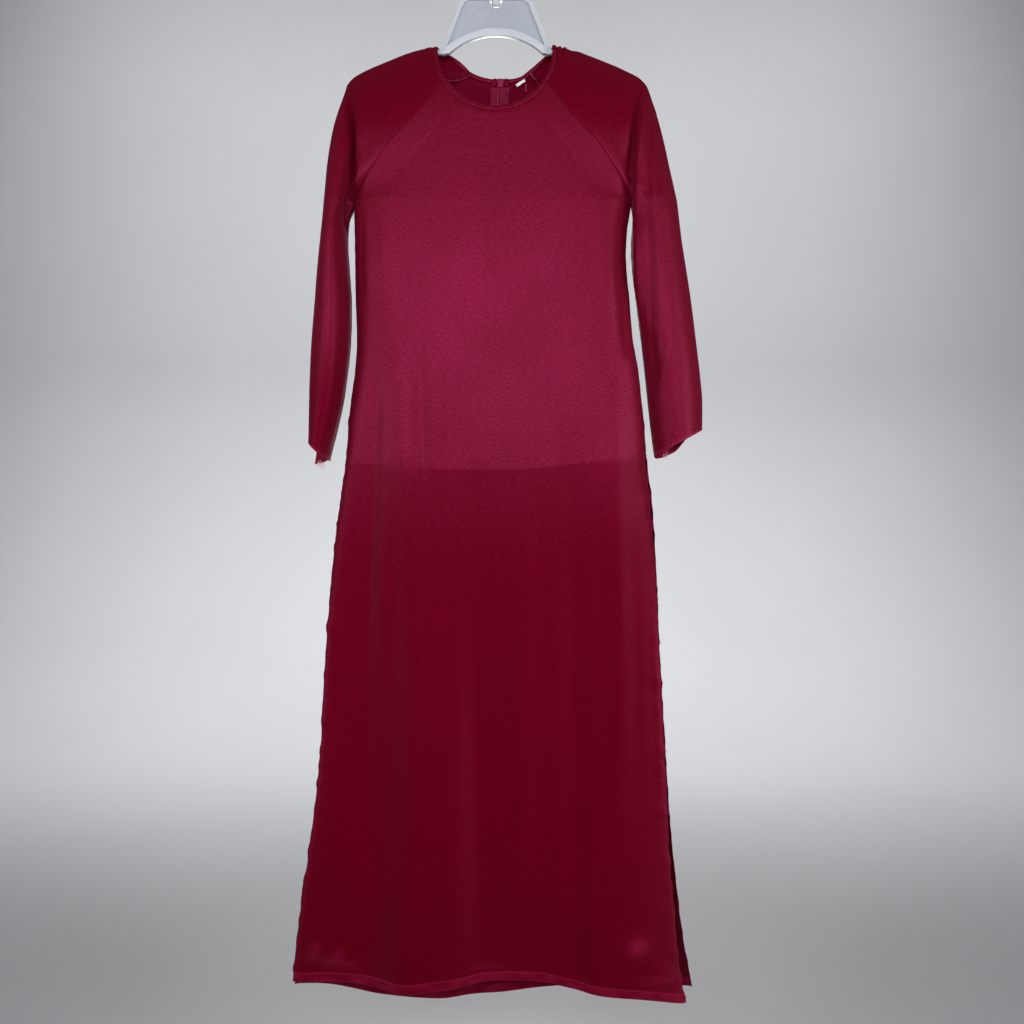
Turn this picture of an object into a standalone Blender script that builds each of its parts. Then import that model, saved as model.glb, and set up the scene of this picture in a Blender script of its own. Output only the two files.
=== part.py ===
"""An ao dai on a clear plastic hanger.

Lengths are in millimetres and become metres as each mesh is made. The garment faces -Y and hangs
below the origin, which is the inside top of the hanger's hook. Left and right are the viewer's.
"""
import math

import bpy
from mathutils import Vector

MM = 0.001

# Thicknesses and seams
CLOTH = 1.2
LINING = 1.0
LINING_CLEAR = 0.7
LINING_EDGE = 3.0
TAPE = 0.8
SEAM_GAP = 0.3
SEAM_BACK = 0.21
HEM_BAND = 12.0
HEM_STEP = 1.5
HEM_EXTRA = 0.9

# How finely the cloth is divided
COLUMNS = 20
SKIRT_STEPS = 11
TORSO_STEPS = 8
RAGLAN_STEPS = 10
AROUND = 24
ARM_STEPS = 7
CUFF_STEPS = 3

# How the body rounds away at its sides, at the armpits and at the neckline
SIDE_POWER = 6.0
SIDE_ROOT = 0.5
YOKE_POWER = 3.0
YOKE_ROOT = 1.0
YOKE_BLEND = 0.33

# Slit edges: how far they stand out of the flat, and the share of the skirt where they reach that
SLIT_SPREAD = 0.6
SLIT_SPREAD_END = 0.45

# Levels of the body
ARMPIT = -345.0
SLIT_TOP = -640.0
LINING_HEM = -708.0
FRONT_LENGTH = -1412.0
BACK_LENGTH = -1440.0
ELBOW = -588.0
ARMPIT_CENTRE = -4.0
NECK_CENTRE = -1.0

# Body from armpit to slit: height, left side, right side, front depth, back depth
TORSO = (
    (-345.0, -194.0, 186.0, 34.0, 32.0),
    (-385.0, -193.5, 180.0, 35.0, 33.0),
    (-425.0, -193.0, 178.5, 36.0, 33.0),
    (-478.0, -192.5, 183.0, 35.0, 32.0),
    (-533.0, -191.0, 187.5, 34.0, 31.0),
    (-575.0, -193.5, 195.0, 33.0, 31.0),
    (-615.0, -199.0, 199.5, 33.0, 31.0),
    (-640.0, -201.5, 202.5, 33.0, 31.0),
)

# Front panel below the slit: height, left edge, right edge, depth
FRONT_SKIRT = (
    (-640.0, -201.5, 202.5, 33.0),
    (-700.0, -204.8, 205.0, 32.0),
    (-753.0, -211.6, 210.5, 31.0),
    (-834.0, -221.0, 216.4, 30.0),
    (-996.0, -233.0, 224.0, 30.0),
    (-1104.0, -238.6, 229.5, 30.0),
    (-1212.0, -250.0, 235.0, 31.0),
    (-1293.0, -261.5, 242.0, 31.0),
    (-1374.0, -272.0, 249.5, 30.0),
    (-1412.0, -275.5, 257.0, 30.0),
)

# Back panels below the slit: height, left edge, right edge, depth
BACK_SKIRT = (
    (-640.0, -201.5, 202.5, 31.0),
    (-700.0, -206.0, 207.0, 32.0),
    (-755.0, -214.0, 214.0, 32.0),
    (-835.0, -224.0, 220.0, 33.0),
    (-1000.0, -237.0, 229.0, 34.0),
    (-1110.0, -243.0, 236.0, 34.0),
    (-1220.0, -254.0, 243.0, 35.0),
    (-1300.0, -265.0, 251.0, 36.0),
    (-1360.0, -273.0, 258.5, 37.0),
    (-1440.0, -280.0, 273.0, 38.0),
)

# Hems: place across from -1 to 1, height, how far the wave there stands out
FRONT_HEM = (
    (-1.0, -1406.0, 0.0),
    (-0.84, -1405.0, -6.0),
    (-0.65, -1407.0, -4.0),
    (-0.44, -1415.0, 10.0),
    (-0.25, -1411.0, 6.0),
    (0.04, -1404.0, -8.0),
    (0.27, -1405.0, -7.0),
    (0.42, -1411.0, 2.0),
    (0.56, -1418.0, 8.0),
    (0.8, -1424.0, 8.0),
    (1.0, -1434.0, 2.0),
)
BACK_HEM = (
    (-1.0, -1428.0, 0.0),
    (-0.8, -1432.0, -4.0),
    (-0.57, -1451.0, 6.0),
    (-0.28, -1458.0, 10.0),
    (-0.1, -1449.0, 4.0),
    (0.05, -1443.0, -4.0),
    (0.3, -1434.0, -6.0),
    (0.6, -1436.0, 4.0),
    (0.85, -1437.0, 5.0),
    (1.0, -1431.0, 0.0),
)

# Raglan seams, armpit to neckline: share of the seam, distance from the middle, height, depth
FRONT_RAGLAN = (
    (0.0, 190.0, -345.0, 0.0),
    (0.12, 180.0, -329.0, 15.0),
    (0.26, 167.0, -307.0, 25.0),
    (0.46, 143.0, -271.0, 29.0),
    (0.72, 108.0, -233.0, 28.0),
    (1.0, 70.5, -186.0, 22.0),
)
BACK_RAGLAN = (
    (0.0, 190.0, -345.0, 0.0),
    (0.12, 183.0, -328.0, 14.0),
    (0.26, 169.0, -303.0, 24.0),
    (0.46, 144.0, -268.0, 29.0),
    (0.72, 100.0, -221.0, 30.0),
    (1.0, 42.0, -158.0, 26.0),
)

# Fold line over the shoulder and down the sleeve's outer side, armpit to neckline:
# share of the seam, left place, right place, height
SHOULDER = (
    (0.0, -236.0, 247.5, -345.0),
    (0.12, -231.5, 238.0, -300.0),
    (0.25, -226.0, 230.0, -262.0),
    (0.37, -219.0, 220.5, -225.0),
    (0.5, -207.0, 208.0, -188.0),
    (0.57, -197.0, 198.0, -174.5),
    (0.65, -180.0, 180.0, -164.5),
    (0.76, -150.0, 150.0, -151.5),
    (0.88, -117.0, 116.0, -138.5),
    (1.0, -86.5, 84.0, -130.5),
)

# Sleeves: height, left outer, left inner, right inner, right outer, left and right half depth
ARMS = (
    (-345.0, -236.0, -197.5, 189.5, 247.5, 38.5, 37.0),
    (-370.0, -238.0, -202.0, 188.5, 250.5, 41.0, 38.0),
    (-400.0, -241.0, -204.0, 186.5, 254.5, 44.5, 38.0),
    (-440.0, -245.0, -201.5, 188.0, 261.0, 47.0, 38.0),
    (-480.0, -248.0, -199.0, 193.0, 267.0, 47.0, 38.0),
    (-533.0, -252.0, -200.0, 199.5, 273.5, 46.0, 38.0),
    (-588.0, -254.6, -206.0, 205.5, 280.0, 44.0, 37.0),
    (-628.0, -255.5, -213.5, 210.5, 282.5, 43.0, 36.0),
    (-690.0, -255.8, -231.0, 221.0, 282.0, 41.0, 35.0),
)

# Cuff edge: height at the outer side and at the inner side, left then right
CUFFS = {-1: (-674.0, -697.5), 1: (-656.5, -691.0)}
CUFF_BACK_DROP = 5.0

# Neckline, how far the back has slid to the right there, and the zip below it
FRONT_NECK = -226.7
BACK_NECK = -171.0
NECK_DEPTH = 28.0
NECK_CURVE = 0.86
BACK_NECK_CURVE = 0.55
NECK_BOW = 4.0
BACK_NECK_BOW = -3.0
BACK_SLIDE = 7.0
BINDING_WIDTH = 7.0
BINDING_THICK = 3.0
BINDING_SIDES = 6
ZIP_OPENING = 1.4
TAPE_WIDTH = 13.0
TAPE_SPLIT = 0.5
CHAIN_WIDTH = 4.0
CHAIN_THICK = 1.4
ZIP_TORSO_ROWS = 3

# Share of the raglan seam where the sleeve stops being a tube and becomes a shoulder
TUBE_END = 0.5

# Creases where the sleeves fold back beside the armpits
CREASE_DEPTH = 7.0
CREASE_END = 0.45
CREASE_PLACE = 0.3
CREASE_WIDTH = 0.17

# Zip slider and its pull tab
SLIDER_TOP = 7.5
SLIDER_BODY = (8.0, 3.0, 12.5)
SLIDER_BEVEL = 0.6
SLIDER_PLATE = (7.0, 1.5, 11.0)
SLIDER_NECK = (2.0, 5.2, 5.0)
SLIDER_NECK_DROP = 1.0
BRIDGE = (2.0, 4.6, 4.6)
BRIDGE_HOLE = 2.4
BRIDGE_SINK = 0.2
PULL_WIDTH = 5.2
PULL_SLOT = (2.8, 0.7, 3.5)
PULL_LENGTH = 19.0
PULL_THICK = 1.0
PULL_FLARE = 0.5
PULL_STEPS = 6

# Label: start and end from the middle, drop below the neckline, height, thickness
LABEL_START = 28.0
LABEL_END = 40.0
LABEL_DROP = 1.2
LABEL_HEIGHT = 4.5
LABEL_THICK = 0.8

# Hanger plate, arms and hook
PLATE_TOP = -63.5
PLATE_TOP_HALF = 48.5
PLATE_FOOT = -134.0
PLATE_FOOT_HALF = 75.5
PLATE_HEEL = -140.0
ARCH_HALF = 63.0
ARCH_TOP = -114.6
PLATE_THICK = 8.0
PLATE_CORNER = (4.0, 3.0)
HEEL_IN = 2.0
RIM = 7.5
WEB_RECESS = 2.5
RECESS_TOP_HALF = 44.5
RECESS_FOOT_HALF = 67.0
RECESS_FOOT_UP = 10.0
ARCH_STEPS = 14
ARM_THICK = 10.0
ARM_HEIGHT = 15.0
ARM_CLEAR = 1.1
ARM_ROOT = ((66.0, -135.0), (76.0, -134.2))
ARM_ROOT_HEIGHT = 0.5
ARM_END_STEP = 6
ARM_END_HEIGHT = 0.55
ARM_END_THICK = 0.6
ARM_ROUND = 0.7
ARM_SIDES = 12
BOSS_RADIUS = 6.5
BOSS_TOP = -57.0
BOSS_FOOT = -76.0
BOSS_SIDES = 16
HOOK_WIRE = 7.0
HOOK_INSIDE = 20.0
HOOK_START = -50.0
HOOK_END = 200.0
HOOK_NECK = ((0.0, 0.3), (0.0, 3.0), (3.5, 7.0))
HOOK_STEPS = 18
HOOK_SIDES = 10

# Colours as the photo shows them: base colour, roughness, metallic
CRIMSON_CLOTH = ((0.19, 0.012, 0.035, 1.0), 0.5, 0.0)
CRIMSON_LINING = ((0.24, 0.02, 0.045, 1.0), 0.6, 0.0)
CRIMSON_TAPE = ((0.2, 0.025, 0.05, 1.0), 0.65, 0.0)
CRIMSON_PAINT = ((0.22, 0.03, 0.05, 1.0), 0.35, 0.0)
WHITE_LABEL = ((0.85, 0.85, 0.84, 1.0), 0.6, 0.0)
CLEAR_PLASTIC = ((0.72, 0.77, 0.79, 1.0), 0.25, 0.0)


def clear_scene():
    """Start from an empty file."""
    for obj in list(bpy.data.objects):
        bpy.data.objects.remove(obj, do_unlink=True)


def make_material(name, look):
    """A plain material from a colour, a roughness and a metallic value."""
    material = bpy.data.materials.new(name)
    material.use_nodes = True
    shader = material.node_tree.nodes["Principled BSDF"]
    shader.inputs["Base Color"].default_value = look[0]
    shader.inputs["Roughness"].default_value = look[1]
    shader.inputs["Metallic"].default_value = look[2]
    return material


def make_solid(name, corners, faces, look):
    """One object from corners in millimetres and faces that point outwards."""
    mesh = bpy.data.meshes.new(name)
    mesh.from_pydata([corner * MM for corner in corners], [], faces)
    mesh.update()
    mesh.shade_smooth()
    mesh.set_sharp_from_angle(angle=math.radians(40.0))
    solid = bpy.data.objects.new(name, mesh)
    mesh.materials.append(make_material(name, look))
    bpy.context.collection.objects.link(solid)
    return solid


def smooth(rows, column, place):
    """Read a column of a table at a place in its first column, on a smooth curve through the rows."""
    if rows[0][0] > rows[-1][0]:
        rows = rows[::-1]
    last = len(rows) - 1
    place = min(max(place, rows[0][0]), rows[last][0])
    low = max(i for i in range(last) if rows[i][0] <= place)
    span = rows[low + 1][0] - rows[low][0]
    share = (place - rows[low][0]) / span

    def slope(i):
        before, after = max(i - 1, 0), min(i + 1, last)
        return (rows[after][column] - rows[before][column]) / (rows[after][0] - rows[before][0])

    start, end = rows[low][column], rows[low + 1][column]
    rise = end - start
    pull_in = slope(low) * span
    pull_out = slope(low + 1) * span
    bend = share * (share - 1.0)
    return start + rise * share + bend * ((share - 1.0) * (pull_in - rise) + share * (pull_out - rise))


def mix(start, end, share):
    """The value, or the point, that lies a share of the way from start to end."""
    return start + (end - start) * share


def ease(share):
    """Run from 0 to 1 with level ends."""
    share = min(max(share, 0.0), 1.0)
    return share * share * (3.0 - 2.0 * share)


def rounded(across, power, root):
    """How full the body is at a place across it: 1 in the middle, 0 at the side."""
    return max(1.0 - abs(across) ** power, 0.0) ** root


def spread(column, columns):
    """Place of a column from -1 to 1, closer together towards the sides."""
    return math.sin(math.pi * (column / columns - 0.5))


def torso_point(face, height, across):
    """A point between armpit and slit, on the front (face -1) or the back (face 1)."""
    left, right = smooth(TORSO, 1, height), smooth(TORSO, 2, height)
    depth = smooth(TORSO, 3 if face < 0 else 4, height)
    x = mix(left, right, 0.5 + 0.5 * across)
    return Vector((x, face * depth * rounded(across, SIDE_POWER, SIDE_ROOT), height))


def skirt_point(face, share, across):
    """A point below the slit; share is 0 at the top of the slit and 1 at the hem."""
    sides, hem, length = BACK_SKIRT, BACK_HEM, BACK_LENGTH
    if face < 0:
        sides, hem, length = FRONT_SKIRT, FRONT_HEM, FRONT_LENGTH
    level = mix(SLIT_TOP, length, share)
    left, right, depth = (smooth(sides, column, level) for column in (1, 2, 3))
    edge = SLIT_SPREAD * ease(share / SLIT_SPREAD_END)
    fullness = mix(edge, 1.0, rounded(across, SIDE_POWER, SIDE_ROOT))
    wave = smooth(hem, 2, across) * share * share
    x = mix(left, right, 0.5 + 0.5 * across)
    height = mix(SLIT_TOP, smooth(hem, 1, across), share)
    return Vector((x, face * (depth * fullness + wave), height))


def upper_middle(share):
    """Middle of the garment between the armpits (share 0) and the neckline (share 1)."""
    return mix(ARMPIT_CENTRE, NECK_CENTRE, share)


def seam_point(face, side, share):
    """A point on a raglan seam, front or back, left (side -1) or right (side 1)."""
    table = FRONT_RAGLAN if face < 0 else BACK_RAGLAN
    x, z, depth = (smooth(table, column, share) for column in (1, 2, 3))
    return Vector((upper_middle(share) + side * x, face * depth, z))


def yoke_point(face, share, across):
    """A point between the raglan seams; share is 0 at the armpits and 1 at the neckline."""
    side = 1.0 if across > 0.0 else -1.0
    seam = seam_point(face, side, share)
    middle_height = mix(ARMPIT, FRONT_NECK if face < 0 else BACK_NECK, share)
    curve = NECK_CURVE if face < 0 else BACK_NECK_CURVE
    rise = (1.0 - math.sqrt(1.0 - (curve * across) ** 2)) / (1.0 - math.sqrt(1.0 - curve ** 2))
    height = mix(middle_height, seam.z, rise)
    full = mix(TORSO[0][3 if face < 0 else 4], NECK_DEPTH, share)
    settle = min(share / YOKE_BLEND, 1.0)
    level = rounded(across, mix(SIDE_POWER, YOKE_POWER, settle), mix(SIDE_ROOT, YOKE_ROOT, settle))
    middle = upper_middle(share) + (BACK_SLIDE * share if face > 0 else 0.0)
    x = mix(middle, seam.x, abs(across))
    return Vector((x, face * mix(abs(seam.y), full, level), height))


def arm_point(side, level, turn):
    """A point on a sleeve below the armpit; turn is -1 or 1 at the underarm and 0 at the outer side.

    The level is a height down to the elbow, and below it a share from the elbow to the cuff's edge.
    """
    outer_high, inner_low = CUFFS[side]
    height = level if level < 0.0 else mix(ELBOW, 0.5 * (outer_high + inner_low), level)
    outer, inner, depth = (smooth(ARMS, c, height) for c in ((1, 2, 5) if side < 0 else (4, 3, 6)))
    angle = (1.0 - abs(turn)) * math.pi
    out = 0.5 - 0.5 * math.cos(angle)
    y = math.copysign(depth * math.sin(angle), turn)
    if level > 0.0:
        edge = mix(inner_low, outer_high, out) - CUFF_BACK_DROP * max(y, 0.0) / depth
        height = mix(ELBOW, edge, level)
    return Vector((mix(inner, outer, out), y, height))


def cap_point(side, share, turn):
    """A point on a sleeve above the armpit; turn runs from the front seam, -1, to the back seam, 1."""
    face = -1 if turn < 0.0 else 1
    seam = seam_point(face, side, share)
    fold = Vector((smooth(SHOULDER, 1 if side < 0 else 2, share), 0.0, smooth(SHOULDER, 3, share)))
    angle = (1.0 - abs(turn)) * 0.5 * math.pi
    tube = max(1.0 - share / TUBE_END, 0.0) ** 2
    out = mix(math.sin(angle), 0.5 - 0.5 * math.cos(2.0 * angle), tube)
    point = mix(seam, fold, out)
    neck_bow = NECK_BOW if face < 0 else BACK_NECK_BOW
    bow = neck_bow * ease(2.0 * share - 1.0) * 4.0 * out * (1.0 - out)
    arm_depth = smooth(ARMS, 5 if side < 0 else 6, ARMPIT)
    depth = abs(seam.y) * math.cos(angle) + tube * arm_depth * math.sin(2.0 * angle)
    if share < CREASE_END:
        crease = CREASE_DEPTH * math.sin(math.pi * share / CREASE_END)
        depth -= crease * math.exp(-(((out - CREASE_PLACE) / CREASE_WIDTH) ** 2))
    return Vector((point.x + side * bow, face * depth, point.z - bow))


def skirt_shares(length):
    """Rows of a panel below the slit, hem edge first."""
    drop = SLIT_TOP - length
    lining_share = (SLIT_TOP - LINING_HEM) / drop
    band_share = 1.0 - HEM_BAND / drop
    above_band = 1.0 - (HEM_BAND + HEM_STEP) / drop
    body = [mix(above_band, lining_share, i / SKIRT_STEPS) for i in range(SKIRT_STEPS + 1)]
    return [1.0, band_share] + body


class Garment:
    """Every panel's grid on one shared set of points, so that seams match and walls share normals."""

    def __init__(self):
        self.points = []
        self.normals = []
        self.front = []
        self.back = []
        self.sleeves = {}
        self.make_front()
        self.make_back()
        for side in (-1, 1):
            self.make_sleeve(side)
        self.measure_normals()
        self.seams = self.shared_points()

    def add(self, point):
        self.points.append(point)
        return len(self.points) - 1

    def make_front(self):
        """Rows from hem to neckline, columns from left to right."""
        places = [spread(i, COLUMNS) for i in range(COLUMNS + 1)]
        for share in skirt_shares(FRONT_LENGTH):
            self.front.append([self.add(skirt_point(-1, share, u)) for u in places])
        for i in range(TORSO_STEPS + 1):
            height = mix(SLIT_TOP, ARMPIT, i / TORSO_STEPS)
            self.front.append([self.add(torso_point(-1, height, u)) for u in places])
        for i in range(1, RAGLAN_STEPS + 1):
            self.front.append([self.add(yoke_point(-1, i / RAGLAN_STEPS, u)) for u in places])

    def make_back(self):
        """Rows from hem to neckline, columns from right to left, joined to the front at the sides."""
        places = [spread(i, COLUMNS) for i in range(COLUMNS, -1, -1)]
        for share in skirt_shares(BACK_LENGTH):
            self.back.append([self.add(skirt_point(1, share, u)) for u in places])
        skirt_rows = len(self.back)
        for i in range(TORSO_STEPS + 1):
            height = mix(SLIT_TOP, ARMPIT, i / TORSO_STEPS)
            side_row = self.front[skirt_rows + i]
            inner = [self.add(torso_point(1, height, u)) for u in places[1:-1]]
            self.back.append([side_row[-1]] + inner + [side_row[0]])
        for i in range(1, RAGLAN_STEPS + 1):
            self.back.append([self.add(yoke_point(1, i / RAGLAN_STEPS, u)) for u in places])

    def make_sleeve(self, side):
        """Rings from cuff to armpit, then rows over the shoulder from seam to seam up to the neckline."""
        turns = [side * (2.0 * i / AROUND - 1.0) for i in range(AROUND + 1)]
        drop = ELBOW - min(CUFFS[side])
        levels = [1.0, 1.0 - HEM_BAND / drop, 1.0 - (HEM_BAND + HEM_STEP) / drop]
        levels += [levels[-1] * (1.0 - i / CUFF_STEPS) for i in range(1, CUFF_STEPS)]
        levels += [mix(ELBOW, ARMPIT, i / ARM_STEPS) for i in range(ARM_STEPS + 1)]
        rows = []
        for level in levels:
            ring = [self.add(arm_point(side, level, turn)) for turn in turns[:-1]]
            rows.append(ring + ring[:1])
        for i in range(1, RAGLAN_STEPS + 1):
            row_from_top = i - RAGLAN_STEPS - 1
            front_end = self.front[row_from_top][-1 if side > 0 else 0]
            back_end = self.back[row_from_top][0 if side > 0 else -1]
            inner = [self.add(cap_point(side, i / RAGLAN_STEPS, turn)) for turn in turns[1:-1]]
            ends = (front_end, back_end) if side > 0 else (back_end, front_end)
            rows.append([ends[0]] + inner + [ends[1]])
        self.sleeves[side] = rows

    def panels(self):
        half = COLUMNS // 2
        return {
            "front_panel": self.front,
            "back_right": [row[:half + 1] for row in self.back],
            "back_left": [row[half:] for row in self.back],
            "sleeve_left": self.sleeves[-1],
            "sleeve_right": self.sleeves[1],
        }

    def measure_normals(self):
        """Outward direction at each point, the mean of the faces of all the panels that meet there."""
        sums = [Vector() for _ in self.points]
        for grid in self.panels().values():
            for a, b, c in triangles(grid):
                across = self.points[b] - self.points[a]
                normal = across.cross(self.points[c] - self.points[a])
                for i in (a, b, c):
                    sums[i] += normal
        self.normals = [total.normalized() for total in sums]

    def shared_points(self):
        """Points that more than one panel uses, which lie on a seam."""
        uses = {}
        for name, grid in self.panels().items():
            for row in grid:
                for i in row:
                    uses.setdefault(i, set()).add(name)
        return {i for i, names in uses.items() if len(names) > 1}


def triangles(grid):
    """The triangles of a grid of point numbers, row by row, turned outwards."""
    faces = []
    for low, high in zip(grid, grid[1:]):
        for i in range(len(low) - 1):
            a, b, c, d = low[i], low[i + 1], high[i + 1], high[i]
            faces += [face for face in ((a, b, c), (a, c, d)) if len(set(face)) == 3]
    return faces


def parted(grid, points, seams):
    """Points of a panel, with those on a seam drawn back by half of the seam's gap."""
    neighbours = {}
    for a, b, c in triangles(grid):
        for start, end in ((a, b), (b, c), (c, a)):
            neighbours.setdefault(start, set()).add(end)
            neighbours.setdefault(end, set()).add(start)
    places = {}
    for i, around in neighbours.items():
        places[i] = points[i].copy()
        inner = [points[j] for j in around if j not in seams]
        if i in seams and inner:
            away = sum(inner, Vector()) / len(inner) - points[i]
            places[i] += away.normalized() * SEAM_BACK
    return places


def make_wall(name, faces, places, normals, out, into, look):
    """A closed wall: the faces moved out, the same faces moved in and turned, and a rim between them."""
    order = sorted(places)
    outer = {key: i for i, key in enumerate(order)}
    inner = {key: i + len(order) for i, key in enumerate(order)}
    corners = [places[key] + normals[key] * out for key in order]
    corners += [places[key] - normals[key] * into(key) for key in order]
    solid = [tuple(outer[key] for key in face) for face in faces]
    solid += [tuple(inner[key] for key in reversed(face)) for face in faces]
    edges = {(face[i], face[(i + 1) % 3]) for face in faces for i in range(3)}
    for a, b in sorted(edges):
        if (b, a) not in edges:
            solid += [(outer[b], outer[a], inner[a]), (outer[b], inner[a], inner[b])]
    return make_solid(name, corners, solid, look)


def make_panels(garment):
    """Front, backs and sleeves, thicker inside where the hems are turned up."""
    for name, grid in garment.panels().items():
        hem = set(grid[0]) | set(grid[1])
        places = parted(grid, garment.points, garment.seams)

        def into(key, hem=hem):
            return CLOTH / 2 + (HEM_EXTRA if key in hem else 0.0)

        make_wall(name, triangles(grid), places, garment.normals, CLOTH / 2, into, CRIMSON_CLOTH)


def make_strip(name, rows, inset, thick, look):
    """A flat strip of rows of (point, outward normal) pairs, laid inside the cloth at a clearance."""
    width = len(rows[0])
    places, normals = {}, {}
    for r, row in enumerate(rows):
        for c, (point, normal) in enumerate(row):
            key = r * width + c
            places[key] = point - normal * (inset + thick / 2)
            normals[key] = normal
    grid = [[r * width + c for c in range(width)] for r in range(len(rows))]
    return make_wall(name, triangles(grid), places, normals, thick / 2, lambda key: thick / 2, look)


def between(garment, start, end, distance):
    """The point and normal at a distance from one grid point towards another."""
    a, b = garment.points[start], garment.points[end]
    share = distance / (b - a).length
    normal = mix(garment.normals[start], garment.normals[end], share).normalized()
    return mix(a, b, share), normal


def make_lining(garment):
    """The front's lining, from neckline to hip, just inside the front and short of its seams."""
    first = SKIRT_STEPS + 2
    rows = []
    for row in garment.front[first:]:
        last = len(row) - 1
        line = [between(garment, row[0], row[1], LINING_EDGE)]
        line += [(garment.points[i], garment.normals[i]) for i in row[1:last]]
        line.append(between(garment, row[last], row[last - 1], LINING_EDGE))
        rows.append(line)
    make_strip("lining_front", rows, CLOTH / 2 + LINING_CLEAR, LINING, CRIMSON_LINING)


def make_zip_tapes(garment):
    """Two tapes on the inside of the back, either side of its middle."""
    middle = COLUMNS // 2
    last = len(garment.back) - RAGLAN_STEPS - ZIP_TORSO_ROWS - 1
    for name, step in (("zip_tape_right", -1), ("zip_tape_left", 1)):
        rows = []
        for row in garment.back[last:]:
            edges = [between(garment, row[middle], row[middle + step], d) for d in (TAPE_SPLIT, TAPE_WIDTH)]
            rows.append(edges[::step])
        make_strip(name, rows, CLOTH / 2 + SEAM_GAP, TAPE, CRIMSON_TAPE)


def make_zip_chain(garment):
    """The closed coil as a plain strip over the tapes' meeting edges, below the slider."""
    middle = COLUMNS // 2
    last = len(garment.back) - RAGLAN_STEPS - ZIP_TORSO_ROWS - 1
    rows = []
    for row in garment.back[last:-1]:
        right = between(garment, row[middle], row[middle - 1], CHAIN_WIDTH / 2)
        left = between(garment, row[middle], row[middle + 1], CHAIN_WIDTH / 2)
        rows.append([right, left])
    make_strip("zip_chain", rows, CLOTH / 2 + 2 * SEAM_GAP + TAPE, CHAIN_THICK, CRIMSON_TAPE)


def make_label(garment):
    """A blank label sewn inside the back neck, to the right of the zip, along the neckline."""
    top, below = garment.back[-1], garment.back[-2]
    rows = []
    for drop in (LABEL_DROP + LABEL_HEIGHT, LABEL_DROP):
        row = []
        for reach in (LABEL_END, LABEL_START):
            spots = [between(garment, top[i], below[i], drop) for i in range(len(top))]
            low = max(i for i in range(len(top)) if spots[i][0].x >= reach)
            share = (reach - spots[low][0].x) / (spots[low + 1][0].x - spots[low][0].x)
            row.append((mix(spots[low][0], spots[low + 1][0], share), spots[low][1]))
        rows.append(row)
    make_strip("neck_label", rows, CLOTH / 2 + 3 * SEAM_GAP, LABEL_THICK, WHITE_LABEL)


def make_tube(name, rings, look):
    """A closed solid through rings of points, with a flat cap at each end."""
    count = len(rings[0])
    corners = [corner for ring in rings for corner in ring]
    faces = []
    for r in range(len(rings) - 1):
        for i in range(count):
            j = (i + 1) % count
            a, b = r * count + i, r * count + j
            faces += [(a, b, b + count), (a, b + count, a + count)]
    start, end = range(count), range(len(corners) - count, len(corners))
    faces += [(start[0], start[i + 1], start[i]) for i in range(1, count - 1)]
    faces += [(end[0], end[i], end[i + 1]) for i in range(1, count - 1)]
    return make_solid(name, corners, faces, look)


def make_binding(garment):
    """The rolled binding round the neckline, from one side of the zip round the front to the other."""
    half = COLUMNS // 2
    tops = (garment.back[-1], garment.sleeves[-1][-1], garment.front[-1], garment.sleeves[1][-1])
    belows = (garment.back[-2], garment.sleeves[-1][-2], garment.front[-2], garment.sleeves[1][-2])
    loops = []
    for back, left, front, right in (tops, belows):
        loops.append(back[half:] + left[1:] + front[1:] + right[1:] + back[1:half + 1])
    rings = []
    last = len(loops[0]) - 1
    for n, (top, below) in enumerate(zip(*loops)):
        point, normal = garment.points[top], garment.normals[top]
        up = point - garment.points[below]
        up = (up - normal * up.dot(normal)).normalized()
        if n in (0, last):
            toward = garment.points[loops[0][1 if n == 0 else last - 1]] - point
            point = point + toward.normalized() * ZIP_OPENING
        centre = point + up * (SEAM_GAP + BINDING_WIDTH / 2)
        ring = []
        for i in range(BINDING_SIDES):
            angle = 2.0 * math.pi * i / BINDING_SIDES
            wide = up * math.cos(angle) * BINDING_WIDTH / 2
            ring.append(centre + wide + normal * math.sin(angle) * BINDING_THICK / 2)
        rings.append(ring)
    make_tube("neck_binding", rings, CRIMSON_CLOTH)


def box_mesh(name, centre, size, look):
    """A block from its centre and its size."""
    half = Vector(size) / 2
    rings = []
    for z in (-half.z, half.z):
        corners = ((-half.x, -half.y), (half.x, -half.y), (half.x, half.y), (-half.x, half.y))
        rings.append([centre + Vector((x, y, z)) for x, y in corners])
    return make_tube(name, rings, look)


def combine(target, other, operation):
    """Join another solid to the target, or cut it out of it, and keep it as a hidden guide."""
    change = target.modifiers.new(other.name, "BOOLEAN")
    change.operation = operation
    change.object = other
    other.hide_render = True
    other.display_type = "WIRE"


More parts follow.
